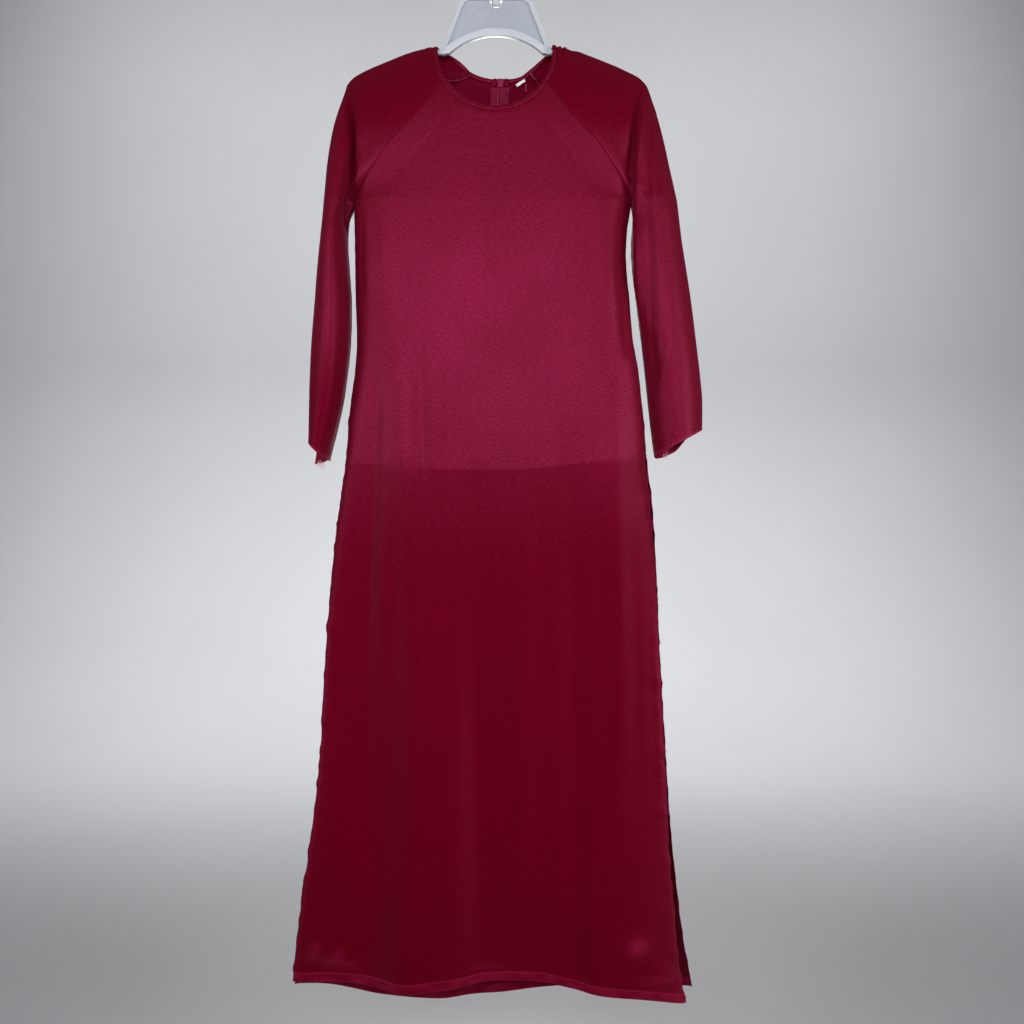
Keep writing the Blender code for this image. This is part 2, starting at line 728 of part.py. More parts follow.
def make_zip_slider(garment):
    """Slider: a body inside the neck, a neck through the binding's opening, and a bridge outside."""
    top = garment.points[garment.back[-1][COLUMNS // 2]]
    head = top.z + SLIDER_TOP
    inside = top.y - CLOTH / 2 - 2 * SEAM_GAP - TAPE
    outside = top.y + BINDING_THICK / 2 + 2 * SEAM_GAP
    body_middle = Vector((top.x, inside - SLIDER_BODY[1] / 2, head - SLIDER_BODY[2] / 2))
    slider = box_mesh("zip_slider", body_middle, SLIDER_BODY, CRIMSON_PAINT)
    edge = slider.modifiers.new("edges", "BEVEL")
    edge.width = SLIDER_BEVEL * MM
    edge.segments = 1
    plate_middle = Vector((top.x, outside + SLIDER_PLATE[1] / 2, head - SLIDER_PLATE[2] / 2))
    plate = box_mesh("slider_plate", plate_middle, SLIDER_PLATE, CRIMSON_PAINT)
    neck_height = head - SLIDER_NECK[2] / 2 - SLIDER_NECK_DROP
    neck_middle = Vector((top.x, (inside + outside) / 2, neck_height))
    neck = box_mesh("slider_neck", neck_middle, SLIDER_NECK, CRIMSON_PAINT)
    bridge_y = outside + SLIDER_PLATE[1] + BRIDGE[1] / 2 - BRIDGE_SINK
    hinge = Vector((top.x, bridge_y, head - SLIDER_PLATE[2] / 2))
    bridge = box_mesh("slider_bridge", hinge, BRIDGE, CRIMSON_PAINT)
    tunnel = box_mesh("slider_tunnel", hinge, (2 * BRIDGE[0], BRIDGE_HOLE, BRIDGE_HOLE), CRIMSON_PAINT)
    combine(slider, neck, "UNION")
    combine(slider, plate, "UNION")
    combine(slider, bridge, "UNION")
    combine(slider, tunnel, "DIFFERENCE")
    return hinge


def make_zip_pull(hinge):
    """The pull tab, a drop-shaped plate whose top bar runs through the slider's bridge."""
    slot_width, bar, slot_foot = PULL_SLOT
    half = PULL_WIDTH / 2
    wide = half + PULL_FLARE
    round_foot = PULL_LENGTH - wide
    outline = [(half, bar), (-half, bar), (-half, -slot_foot)]
    for i in range(PULL_STEPS + 1):
        angle = math.pi * i / PULL_STEPS
        outline.append((-wide * math.cos(angle), -round_foot - wide * math.sin(angle)))
    outline.append((half, -slot_foot))
    rings = []
    for y in (PULL_THICK / 2, -PULL_THICK / 2):
        rings.append([Vector((x, y, z)) for x, z in outline])
    pull = make_tube("zip_pull", rings, CRIMSON_PAINT)
    pull.location = hinge * MM
    slot_size = (slot_width, 3 * PULL_THICK, slot_foot - bar)
    slot_middle = hinge + Vector((0.0, 0.0, -(slot_foot + bar) / 2))
    slot = box_mesh("pull_slot", slot_middle, slot_size, CRIMSON_PAINT)
    combine(pull, slot, "DIFFERENCE")


def prism(name, outline, front, back, look):
    """A plate from an outline of (x, z) points that runs clockwise seen from the front."""
    count = len(outline)
    corners = [Vector((x, y, z)) for y in (front, back) for x, z in outline]
    faces = [(i, (i + 1) % count, (i + 1) % count + count, i + count) for i in range(count)]
    faces.append(tuple(range(count - 1, -1, -1)))
    faces.append(tuple(range(count, 2 * count)))
    return make_solid(name, corners, faces, look)


def arch(half, top, foot):
    """Points of the arc under the plate, from right to left."""
    rise = top - foot
    radius = (half * half + rise * rise) / (2.0 * rise)
    reach = math.asin(half / radius)
    points = []
    for i in range(ARCH_STEPS + 1):
        angle = mix(reach, -reach, i / ARCH_STEPS)
        points.append((radius * math.sin(angle), top - radius + radius * math.cos(angle)))
    return points


def make_hanger_plate():
    """The plate between the arms: a raised rim round a thinner web, with an arch below."""
    corner_in, corner_down = PLATE_CORNER
    right = [(PLATE_TOP_HALF - corner_in, PLATE_TOP), (PLATE_TOP_HALF, PLATE_TOP - corner_down)]
    right += [(PLATE_FOOT_HALF, PLATE_FOOT), (PLATE_FOOT_HALF - HEEL_IN, PLATE_HEEL)]
    left = [(-x, z) for x, z in reversed(right)]
    outline = right + arch(ARCH_HALF, ARCH_TOP, PLATE_HEEL) + left
    plate = prism("hanger_body", outline, -PLATE_THICK / 2, PLATE_THICK / 2, CLEAR_PLASTIC)
    recess = [(RECESS_TOP_HALF, PLATE_TOP - RIM)]
    recess += arch(RECESS_FOOT_HALF, ARCH_TOP + RIM, PLATE_HEEL + RECESS_FOOT_UP)
    recess += [(-RECESS_TOP_HALF, PLATE_TOP - RIM)]
    for name, face in (("web_front", -1), ("web_back", 1)):
        near = face * (PLATE_THICK / 2 - WEB_RECESS)
        far = face * PLATE_THICK
        cutter = prism(name, recess, min(near, far), max(near, far), CLEAR_PLASTIC)
        combine(plate, cutter, "DIFFERENCE")
    return plate


def make_hanger_arm(name, side):
    """One arm, sloping down under the shoulder's fold line, rounded on top and at its end."""
    places = [(side * x, z) for x, z in ARM_ROOT]
    for i in range(RAGLAN_STEPS, ARM_END_STEP - 1, -1):
        share = i / RAGLAN_STEPS
        top = smooth(SHOULDER, 3, share) - CLOTH / 2 - ARM_CLEAR
        places.append((smooth(SHOULDER, 1 if side < 0 else 2, share), top))
    rings = []
    for n, (x, top) in enumerate(places):
        last = n == len(places) - 1
        height_share = ARM_ROOT_HEIGHT if n < len(ARM_ROOT) else ARM_END_HEIGHT if last else 1.0
        half_high = ARM_HEIGHT / 2 * height_share
        half_thick = ARM_THICK / 2 * (ARM_END_THICK if last else 1.0)
        ring = []
        for i in range(ARM_SIDES):
            angle = 2.0 * math.pi * (i + 0.5) / ARM_SIDES
            level = math.copysign(abs(math.cos(angle)) ** ARM_ROUND, math.cos(angle))
            ring.append(Vector((x, side * half_thick * math.sin(angle), top - half_high + half_high * level)))
        rings.append(ring)
    return make_tube(name, rings, CLEAR_PLASTIC)


def make_hanger_boss():
    """The round socket in the plate's top, which holds the hook's stem."""
    rings = []
    for z in (BOSS_FOOT, BOSS_TOP):
        turns = [2.0 * math.pi * i / BOSS_SIDES for i in range(BOSS_SIDES)]
        rings.append([Vector((BOSS_RADIUS * math.cos(t), BOSS_RADIUS * math.sin(t), z)) for t in turns])
    return make_tube("hanger_boss", rings, CLEAR_PLASTIC)


def make_hanger():
    """Plate, arms and boss as one moulding."""
    plate = make_hanger_plate()
    for name, side in (("arm_left", -1), ("arm_right", 1)):
        combine(plate, make_hanger_arm(name, side), "UNION")
    combine(plate, make_hanger_boss(), "UNION")


def make_hook():
    """The hook: a stem out of the boss, swung aside and then round a circle over the rail's place."""
    radius = HOOK_INSIDE + HOOK_WIRE / 2
    path = [(x, BOSS_TOP + rise) for x, rise in HOOK_NECK]
    for i in range(HOOK_STEPS + 1):
        angle = math.radians(mix(HOOK_START, HOOK_END, i / HOOK_STEPS))
        path.append((radius * math.cos(angle), -HOOK_INSIDE + radius * math.sin(angle)))
    rings = []
    side = Vector((0.0, 1.0, 0.0))
    for n, (x, z) in enumerate(path):
        before, after = path[max(n - 1, 0)], path[min(n + 1, len(path) - 1)]
        along = Vector((after[0] - before[0], 0.0, after[1] - before[1])).normalized()
        other = along.cross(side)
        ring = []
        for i in range(HOOK_SIDES):
            angle = 2.0 * math.pi * i / HOOK_SIDES
            out = other * math.cos(angle) - side * math.sin(angle)
            ring.append(Vector((x, 0.0, z)) + out * HOOK_WIRE / 2)
        rings.append(ring)
    make_tube("hanger_hook", rings, CLEAR_PLASTIC)


def main():
    clear_scene()
    garment = Garment()
    make_panels(garment)
    make_lining(garment)
    make_binding(garment)
    make_zip_tapes(garment)
    make_zip_chain(garment)
    make_label(garment)
    hinge = make_zip_slider(garment)
    make_zip_pull(hinge)
    make_hanger()
    make_hook()


main()
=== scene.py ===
"""The looks of an ao dai on a clear plastic hanger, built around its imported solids.

The cloth is worked out in millimetres, and becomes metres as each mesh is made. The garment faces -Y
and hangs below the origin, the inside top of the hanger's hook. Left and right are the viewer's.
"""
import math

import bpy
import numpy as np
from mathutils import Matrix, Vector


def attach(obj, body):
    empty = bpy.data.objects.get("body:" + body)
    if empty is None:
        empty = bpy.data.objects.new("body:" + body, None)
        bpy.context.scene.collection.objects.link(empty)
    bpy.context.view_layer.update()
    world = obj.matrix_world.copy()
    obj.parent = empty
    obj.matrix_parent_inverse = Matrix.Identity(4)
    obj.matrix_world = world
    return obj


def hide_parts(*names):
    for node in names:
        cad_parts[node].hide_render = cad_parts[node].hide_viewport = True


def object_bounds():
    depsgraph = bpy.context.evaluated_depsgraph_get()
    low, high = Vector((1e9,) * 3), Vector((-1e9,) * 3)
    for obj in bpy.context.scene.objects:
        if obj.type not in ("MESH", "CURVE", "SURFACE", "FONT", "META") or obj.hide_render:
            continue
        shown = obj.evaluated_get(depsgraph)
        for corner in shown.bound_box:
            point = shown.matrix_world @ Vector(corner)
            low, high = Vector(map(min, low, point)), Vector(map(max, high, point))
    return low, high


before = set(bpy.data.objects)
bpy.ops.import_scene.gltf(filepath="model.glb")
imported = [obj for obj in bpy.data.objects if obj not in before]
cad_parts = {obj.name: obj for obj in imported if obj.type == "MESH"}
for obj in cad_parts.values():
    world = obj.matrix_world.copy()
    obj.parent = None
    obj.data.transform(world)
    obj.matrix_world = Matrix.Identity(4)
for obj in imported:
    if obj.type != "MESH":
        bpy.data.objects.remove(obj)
CAD_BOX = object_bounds()

MM = 0.001
GARMENT = "garment"
PULL_TAB = "pull_tab"

# Camera and room
CAMERA_PLACE = (0.022, -1.5, -0.7691)
FRAME_WIDTH = 1.408
FLOOR_DROP = 0.16
FLOOR_REACH = 9.0
WALL_BACK = 3.4
WALL_TOP = 6.0
SWEEP_RADIUS = 1.5
SWEEP_STEPS = 16
FLOOR_DARK = (0.58, 0.585, 0.6)
FLOOR_PALE = (0.62, 0.625, 0.64)
SKY_COLOUR = (0.93, 0.95, 1.0, 1.0)
SKY_STRENGTH = 0.15

# Lights: name, place, target, size, power, spread in degrees
LIGHTS = (
    ("front_light", (-0.1, -2.3, -0.16), (0.0, 0.0, -0.54), (2.0, 0.35), 6.9, 66.0),
    ("left_light", (-2.0, -1.6, -0.55), (0.0, 0.0, -0.5), (1.4, 1.2), 4.7, 66.0),
    ("right_light", (2.0, -1.6, -0.55), (0.0, 0.0, -0.5), (1.4, 1.2), 6.2, 66.0),
    ("low_light", (1.7, -1.3, -1.3), (0.0, 0.0, -1.2), (1.0, 1.0), 2.4, 80.0),
    ("top_light", (0.5, -1.0, 1.4), (0.0, 0.0, -0.7), (1.6, 1.6), 0.3, 180.0),
    ("back_light", (0.0, 1.9, 3.0), (0.0, 3.4, -0.6), (4.4, 1.5), 46.0, 70.0),
    ("floor_light", (0.0, 2.3, 0.7), (0.0, 1.7, -1.6), (4.0, 1.2), 8.0, 80.0),
    ("rear_light", (0.0, 2.1, -0.5), (0.0, 0.0, -0.7), (0.4, 1.2), 7.0, 60.0),
)

# Thicknesses and turned edges
CLOTH = 0.8
LINING = 0.5
TAPE = 0.7
HEM_TURN = 12.0
HEM_STITCH = 10.8
SLIT_TURN = 7.0
SLIT_STITCH = 5.6
CUFF_TURN = 5.0
CUFF_STITCH = 4.0
TURN_EXTRA = 0.6

# Levels of the body
ARMPIT = -345.0
SLIT_TOP = -640.0
FRONT_LENGTH = -1412.0
BACK_LENGTH = -1440.0
ELBOW = -588.0
ARMPIT_CENTRE = -4.0
NECK_CENTRE = -1.0

# How the body rounds away at its sides, at the armpits and at the neckline
SIDE_POWER = 6.0
SIDE_ROOT = 0.5
YOKE_POWER = 3.0
YOKE_ROOT = 1.0
YOKE_BLEND = 0.33
SLIT_SPREAD = 0.6
SLIT_SPREAD_END = 0.45

# Body from armpit to slit: height, left side, right side, front depth, back depth
TORSO = (
    (-345, -194, 186, 34, 32),
    (-385, -193.5, 180, 35, 33),
    (-425, -193, 178.5, 36, 33),
    (-478, -192.5, 183, 35, 32),
    (-533, -191, 187.5, 34, 31),
    (-575, -193.5, 195, 33, 31),
    (-615, -199, 199.5, 33, 31),
    (-640, -201.5, 202.5, 33, 31),
)

# Front panel below the slit: height, left edge, right edge, depth
FRONT_SKIRT = (
    (-640, -201.5, 202.5, 33),
    (-700, -204.8, 205, 32),
    (-753, -211.6, 210.5, 31),
    (-834, -221, 216.4, 30),
    (-996, -233, 224, 30),
    (-1104, -238.6, 229.5, 30),
    (-1212, -250, 235, 31),
    (-1293, -261.5, 242, 31),
    (-1374, -272, 249.5, 30),
    (-1412, -275.5, 257, 30),
)

# Back panels below the slit: height, left edge, right edge, depth
BACK_SKIRT = (
    (-640, -201.5, 202.5, 31),
    (-700, -206, 207, 32),
    (-755, -214, 214, 32),
    (-835, -224, 220, 33),
    (-1000, -237, 229, 34),
    (-1110, -243, 236, 34),
    (-1220, -254, 243, 35),
    (-1300, -265, 251, 36),
    (-1360, -273, 258.5, 37),
    (-1440, -280, 273, 38),
)

# Hems: place across from -1 to 1, height, and how far the wave there stands out
FRONT_HEM = (
    (-1, -1406, 0),
    (-0.84, -1405, -6),
    (-0.65, -1407, -4),
    (-0.44, -1415, 10),
    (-0.25, -1411, 6),
    (0.04, -1404, -8),
    (0.27, -1405, -7),
    (0.42, -1411, 2),
    (0.56, -1418, 8),
    (0.8, -1424, 8),
    (1, -1434, 2),
)
BACK_HEM = (
    (-1, -1428, 0),
    (-0.8, -1432, -4),
    (-0.57, -1451, 6),
    (-0.28, -1458, 10),
    (-0.1, -1449, 4),
    (0.05, -1443, -4),
    (0.3, -1434, -6),
    (0.6, -1436, 4),
    (0.85, -1437, 5),
    (1, -1431, 0),
)

# Lower edge of the front's lining: place across from -1 to 1, height
LINING_HEM = (
    (-1, -703),
    (-0.7, -704.5),
    (-0.38, -711),
    (0.2, -711),
    (0.45, -706),
    (0.75, -700),
    (1, -695),
)

# How far the step over the lining's edge is spread, across from -1 to 1
LINING_FADE = (
    (-1, 8),
    (-0.78, 6),
    (-0.68, 34),
    (-0.56, 38),
    (-0.43, 3),
    (0.2, 3),
    (0.6, 5),
    (0.78, 16),
    (1, 34),
)

# Raglan seams, armpit to neckline: share of the seam, distance from the middle, height, depth
FRONT_RAGLAN = (
    (0, 190, -345, 0),
    (0.12, 180, -329, 15),
    (0.26, 167, -307, 25),
    (0.46, 143, -271, 29),
    (0.72, 108, -233, 28),
    (1, 70.5, -186, 22),
)
BACK_RAGLAN = (
    (0, 190, -345, 0),
    (0.12, 183, -328, 14),
    (0.26, 169, -303, 24),
    (0.46, 144, -268, 29),
    (0.72, 100, -221, 30),
    (1, 42, -158, 26),
)

# Fold line over the shoulder and down the sleeve's outer side, armpit to neckline:
# share of the seam, left place, right place, height
SHOULDER = (
    (0, -236, 247.5, -345),
    (0.12, -231.5, 238, -300),
    (0.25, -226, 230, -262),
    (0.37, -219, 220.5, -225),
    (0.5, -207, 208, -188),
    (0.57, -197, 198, -174.5),
    (0.65, -180, 180, -164.5),
    (0.76, -150, 150, -151.5),
    (0.88, -117, 116, -138.5),
    (1, -86.5, 84, -130.5),
)

# Sleeves: height, left outer, left inner, right inner, right outer, left and right half depth
ARMS = (
    (-345, -236, -197.5, 189.5, 247.5, 38.5, 37),
    (-370, -238, -202, 188.5, 250.5, 41, 38),
    (-400, -241, -204, 186.5, 254.5, 44.5, 38),
    (-440, -245, -201.5, 188, 261, 47, 38),
    (-480, -248, -199, 193, 267, 47, 38),
    (-533, -252, -200, 199.5, 273.5, 46, 38),
    (-588, -254.6, -206, 205.5, 280, 44, 37),
    (-628, -255.5, -213.5, 210.5, 282.5, 43, 36),
    (-690, -255.8, -231, 221, 282, 41, 35),
)

# Cuff edge: height at the outer side and at the inner side, left then right
CUFFS = {-1: (-674.0, -697.5), 1: (-656.5, -691.0)}
CUFF_BACK_DROP = {-1: 4.0, 1: 11.0}

# Neckline
FRONT_NECK = -226.7
BACK_NECK = -171.0
NECK_DEPTH = 28.0
NECK_CURVE = 0.86
BACK_NECK_CURVE = 0.55
NECK_BOW = 4.0
BACK_NECK_BOW = -3.0
BACK_SLIDE = 7.0
BACK_SCOOP = 7.0
BINDING_WIDTH = 7.0
BINDING_THICK = 3.0
ZIP_OPENING = 1.4
ZIP_FOOT = -455.0

# The sleeve's top: where it stops being a tube, and the crease beside each armpit
TUBE_END = 0.5
CREASE_DEPTH = 5.0
CREASE_END = 0.45
CREASE_PLACE = 0.3
CREASE_WIDTH = 0.17

# Hanger plate: foot, top, half widths, thickness, and how deep its web lies below the rim
PLATE_FOOT = -140.0
PLATE_TOP = -63.5
PLATE_FOOT_HALF = 77.8
PLATE_TOP_HALF = 48.5
PLATE_THICK = 8.0
WEB_RECESS = 2.6
RECESS_FOOT = -142.0
RECESS_TOP = -67.0
RECESS_FOOT_HALF = 71.6
RECESS_TOP_HALF = 43.3

# Arches below the plate and inside its rim: half width, height of the top, height of the foot
ARCH = (64.5, -114.6, -140.0)
RIM_ARCH = (67.5, -105.2, -130.4)

# Socket for the hook: a round window, a collar (radius, foot, top), and a moulding pip on the web
WINDOW_RADIUS = 9.2
WINDOW_MIDDLE = -67.6
COLLAR = (9.6, -66.0, -57.0)
PIP = (-19.4, -1.8, -81.0)
PIP_RADIUS = 1.7
PIP_LENGTH = 1.4

# Corner radii of the plate (top, foot) and of its recess, the cutter's thickness, and softened edges
PLATE_CORNERS = (13.0, 5.0)
RECESS_CORNER = 8.0
RECESS_CUT = 8.0
PLATE_SOFT = 1.3

# Hanger arms, which follow the shoulders' fold line: root, heights, distance under the cloth, shares of
# the shoulder that they run through, the block that they start from (length, depth), and their tip
ARM_ROOT = (68.0, -134.6)
ARM_ROOT_HEIGHT = 7.0
ARM_HEIGHT = 14.0
ARM_CLEAR = 1.1
ARM_SHARES = (1.0, 0.95, 0.9, 0.84, 0.78, 0.72, 0.66, 0.62)
ARM_START = (8.0, 9.0)
ARM_TIP = (3.0, 0.0, -2.5)

# Hook: wire, inside radius, turn from its stem round to its tip, the stem's points, and the knob in
# the socket (radius, foot, top)
HOOK_WIRE = 7.0
HOOK_INSIDE = 20.0
HOOK_TURN = (-50.0, 200.0)
HOOK_NECK = ((3.5, 0.0, -50.0), (0.6, 0.0, -54.0), (0.0, 0.0, -60.0))
KNOB = (5.2, -74.2, -58.0)

# Zip: the tapes' width, drop, columns and thicker selvages, then the coil's clear top, tooth pitch and
# tooth (width, thickness, height)
TAPE_WIDTH = 13.6
TAPE_TOP_DROP = 2.6
TAPE_COLUMNS = (0.25, 0.9, 2.8, 3.6, 6.5, 9.4, 12.0, 12.5, TAPE_WIDTH)
TAPE_SELVAGES = (3.6, 12.5, TAPE_WIDTH)
SELVAGE_EXTRA = 0.12
COIL_CLEAR = 5.0
TOOTH_PITCH = 1.1
TOOTH = (2.5, 0.7, 0.62)

# Slider: its height over the neckline, its parts as width, thickness and height, its corner radii
# (top, foot), the dish in its face (edge, depth), its rails, and the hole and bridge of its hinge
SLIDER_HEAD = 7.5
SLIDER_BODY = (10.6, 1.6, 12.0)
SLIDER_FOOT_SHARE = 0.62
SLIDER_PLATE = (7.0, 1.5, 11.0)
SLIDER_NECK = (2.0, 5.4, 5.0)
SLIDER_CORNERS = (2.2, 1.2)
SLIDER_DISH = (1.1, 0.35)
SLIDER_RAIL = (1.0, 1.6)
RAIL_PLACE = 3.1
HINGE_HOLE = 1.15
BRIDGE = (2.2, 4.6)

# Pull: width, thickness and length, the bar at its top, its slot, foot, corners and dish
PULL = (5.2, 1.0, 19.0)
PULL_BAR = 0.7
PULL_SLOT = (2.8, 3.2)
PULL_FOOT_SHARE = 1.2
PULL_CORNERS = (0.5, 2.9)
PULL_DISH = (0.55, 0.12)

# Label: its two lower ends in the neck, its height and its thickness
LABEL_ENDS = ((29.2, -174.6), (41.2, -167.6))
LABEL_HEIGHT = 3.9
LABEL_THICK = 0.9

# Raglan seam allowances inside the back neck: name, sleeve, back panel, width, and the free edge's
# places (x, height, how far it curls off the cloth)
FLAPS = (
    ("allowance_left", "sleeve_left", "back_left", 15.0,
     ((-33.5, -159.0, 0.8), (-41.0, -163.6, 2.0), (-49.0, -167.4, 3.4), (-57.5, -169.6, 4.6),
      (-65.0, -169.2, 5.2), (-72.0, -172.0, 4.6), (-82.0, -180.0, 3.6), (-94.0, -196.0, 2.4))),
    ("allowance_right", "sleeve_right", "back_right", 9.0,
     ((45.5, -157.5, 0.8), (50.0, -162.0, 3.2), (54.5, -167.5, 3.6), (60.0, -175.5, 3.0),
      (67.0, -184.0, 2.4), (77.0, -195.0, 2.0))),
)
FLAP_COLUMNS = 60
FLAP_ROWS = 9
FLAP_THICK = 0.7

# Frayed cuff ends: x, height, half width, number of threads; then lone threads: radius and route
FRAYS = ((-242.0, -699.5, 6.0, 26), (233.5, -687.0, 3.0, 9))
FRAY_LENGTH = 9.0
LONE_THREADS = (
    (0.25, ((41.0, 20.0, -173.0), (41.6, 19.5, -176.5), (40.6, 19.0, -179.5), (41.8, 19.0, -183.0))),
    (0.3, ((47.0, 19.0, -158.5), (50.5, 17.5, -160.5), (51.0, 17.0, -164.5), (54.5, 17.5, -166.5))),
)

# The left cuff's ragged allowance: its top and its foot, each from left to right, and its flat size
FRAYED_TOP = ((-246.0, -683.0), (-231.0, -692.0))
FRAYED_FOOT = ((-248.6, -702.5), (-231.6, -698.5))
FRAYED_SIZE = (16.0, 12.0)

# Binding ends beside the slider: distance of the outer edge, flat size
BINDING_END_PLACE = 11.6
BINDING_END_SIZE = (6.0, 10.0)

# Stitches, from end to end: share of the length, share of the width, height as a share of the thread;
# then length and gap for the hems, the cuffs and the overlocked edges
STITCH_RINGS = ((0.0, 0.35, -1.0), (0.25, 1.0, 0.45), (0.75, 1.0, 0.45), (1.0, 0.35, -1.0))
HEM_STITCHES = (2.4, 0.7)
CUFF_STITCHES = (2.2, 0.6)
OVERLOCK = (1.5, 0.25)

# Folds and creases as the front shows them, in front view: x and height at one end, x and height at
# the other, bow to the side, half width (or one for the left and one for the right), and how far it
# stands out (a trough is negative)
FRONT_FOLDS = (
    (-11.6, -296, -12.6, -560, 0.6, 1.5, 0.45),
    (1.9, -300, 1.2, -575, -0.5, 1.5, 0.4),
    (-56, -287, -6, -290.5, 1.4, 1.6, -0.35),
    (-7, -297, 4, -308, 0.8, 1.4, -0.3),
    (-20, -281, 6, -277.5, -0.8, 1.8, 0.25),
    (181, -320, 181, -560, 0, (12, 6), -9),
    (150, -345, 158, -500, -3, 14, 2.2),
    (-181, -352, -180, -500, -2, 5, -2.4),
    (-168, -350, -150, -540, 6, 15, 1.6),
    (-132, -520, -112, -1230, 9, 19, 6),
    (-158, -560, -180, -1250, -6, (30, 14), -9),
    (-70, -900, -56, -1500, 4, 24, 5.4),
    (-150, -880, -166, -1500, 2, 26, -5.6),
    (-24, -700, -12, -1500, -6, 18, -5.4),
    (34, -580, 30, -1450, 4, 18, 4),
    (102, -640, 108, -1500, 2, 17, -5.4),
    (-105, -540, -100, -760, 2, 7, -2.4),
    (-85, -540, -80, -760, 2, 9, 2.4),
    (-158, -560, -168, -720, -2, 8, -1.8),
    (158, -590, 168, -1250, 3, 16, 5.2),
    (205, -700, 218, -1200, 2, 9, -1.6),
    (-272, -1360, -180, -1382, 3, 11, 3.6),
    (172, -1352, 206, -1356, 1, 9, 3.4),
    (196, -1386, 262, -1400, 2, 10, 2.6),
    (-60, -1384, 60, -1378, 3, 9, 1.8),
    (20, -620, 90, -780, 5, 16, 0.7),
    (-60, -600, -120, -760, -5, 14, 0.6),
)
BACK_FOLDS = (
    (-40, -300, -128, -430, 8, 15, 1.6),
    (46, -310, 120, -440, -7, 13, 1.4),
    (-165, -352, -150, -560, -6, 12, 2.6),
    (158, -352, 152, -540, 5, 11, -3),
    (-20, -520, -92, -640, 6, 14, 0.9),
    (26, -540, 96, -630, -5, 12, 0.8),
    (-132, -560, -150, -1500, 8, 25, 3),
    (-62, -680, -76, -1500, -7, 21, -3.4),
    (40, -640, 36, -1500, 6, 22, 2.8),
    (108, -700, 122, -1500, -4, 20, -3),
    (170, -600, 192, -1400, 4, 17, 2.4),
    (-186, -760, -214, -1500, 2, 16, -2.2),
)

# How far the right lip of each sleeve's first fold hangs over it, and its place and width beside it
LIP_REACH = {-1: 6.5, 1: 0.0}
LIP_PLACE = 3.2
LIP_WIDTH = 3.0

# Folds of the sleeves' fronts and backs, written as the body's are, the deepest front one first
LEFT_SLEEVE_FRONT = (
    (-204, -186, -200, -388, 17, (14, 2), -21),
    (-222, -230, -228, -430, 3, 8, 1.8),
    (-233, -300, -238, -600, -2, 9, -1.2),
    (-216, -480, -228, -690, 3, 9, 1),
    (-245, -560, -222, -600, 2, 7, -0.7),
)
LEFT_SLEEVE_BACK = (
    (-222, -240, -232, -420, 3, 8, 2),
    (-210, -330, -222, -520, -4, 7, -2.4),
    (-236, -450, -232, -680, 3, 8, 1.6),
    (-248, -520, -218, -575, 4, 8, 1.2),
    (-214, -590, -246, -620, -3, 6, -0.9),
)
RIGHT_SLEEVE_FRONT = (
    (197, -186, 184, -306, -4, (2.6, 4), -9.5),
    (187, -246, 180, -376, 0, (11, 2.2), -9),
    (206, -180, 194, -370, -5, 5, 4.2),
    (192, -300, 194, -520, -1, (3, 9), 5.5),
    (189, -186, 178, -300, -5, 3.6, 1.6),
    (213, -200, 206, -350, -3, 2.6, -1.4),
    (219, -210, 214, -350, -2, 2.4, 1.3),
    (198, -208, 193, -262, 2, 2, 0.9),
    (196, -318, 203, -560, -4, 2, 1.5),
    (209, -322, 219.5, -556, 4, 2, 1.4),
    (202, -330, 211, -560, 1, 4, -1.5),
    (228, -540, 219, -592, 5, 2.4, 1.4),
    (238, -548, 232, -590, 4, 2.6, 1.2),
    (205, -520, 212, -610, 4, 8, -3.2),
    (243, -300, 256, -470, -3, 8, 1),
    (246, -600, 250, -680, 2, 10, 0.9),
)
RIGHT_SLEEVE_BACK = (
    (200, -240, 206, -330, -3, 5, -3.4),
    (214, -330, 226, -600, 5, 5, 2.2),
    (236, -300, 248, -520, -4, 6, -2),
    (222, -540, 262, -592, 5, 7, 1.4),
    (258, -420, 240, -650, -4, 9, 1.4),
)

# The sleeves: side, name, first seed, front and back folds, and where the outer side begins, which the
# painted shade over the cap spares
SLEEVES = (
    (-1, "sleeve_left", 61, LEFT_SLEEVE_FRONT, LEFT_SLEEVE_BACK, 202.0),
    (1, "sleeve_right", 71, RIGHT_SLEEVE_FRONT, RIGHT_SLEEVE_BACK, 189.0),
)

# Painted highlights, paler and glossier, where the satin of the hem's corners catches the light: x, height,
# half width, half height, strength
PAINTED_GLINTS = (
    (-243, -1360, 8, 8, 0.4),
    (-252, -1372, 9, 6, 0.3),
    (-213, -1368, 9, 7, 0.35),
    (-222, -1377, 14, 6, 0.35),
    (-200, -1381, 13, 5, 0.3),
    (188, -1355, 9, 9, 0.45),
    (192, -1352, 19, 13, 0.25),
    (222, -1398, 28, 7, 0.3),
    (-12, -1383, 18, 4, 0.3),
)

# Grooves along seams and stitches: depth, width
SIDE_GROOVE = (0.9, 2.0)
ARM_GROOVE = (0.8, 2.0)
RAGLAN_GROOVE = (0.5, 1.1)
HEM_GROOVE = (0.35, 1.0)
SLIT_GROOVE = (0.22, 0.9)
CUFF_GROOVE = (0.25, 0.8)
NECK_GROOVE = (0.7, 2.2)

# Puckers along seams and stitches: spacing, reach, height
FRONT_SIDES = ((17.0, 16.0, 0.5), (19.0, 15.0, 0.5))
FRONT_SLITS = ((26.0, 17.0, 2.4), (23.0, 18.0, 2.8))
BACK_CENTRE = (21.0, 15.0, 0.7)
BACK_SIDES = ((18.0, 15.0, 0.5),)
BACK_SLITS = ((25.0, 13.0, 1.3),)
HEM_PUCKERS = (13.0, 15.0, 0.5)
NECK_PUCKERS = (15.0, 12.0, 0.35)
ARM_SIDES = ((18.0, 14.0, 0.5), (17.0, 14.0, 0.5))
CUFF_PUCKERS = (11.0, 10.0, 0.45)
CAP_PUCKERS = (12.0, 14.0, 0.5)

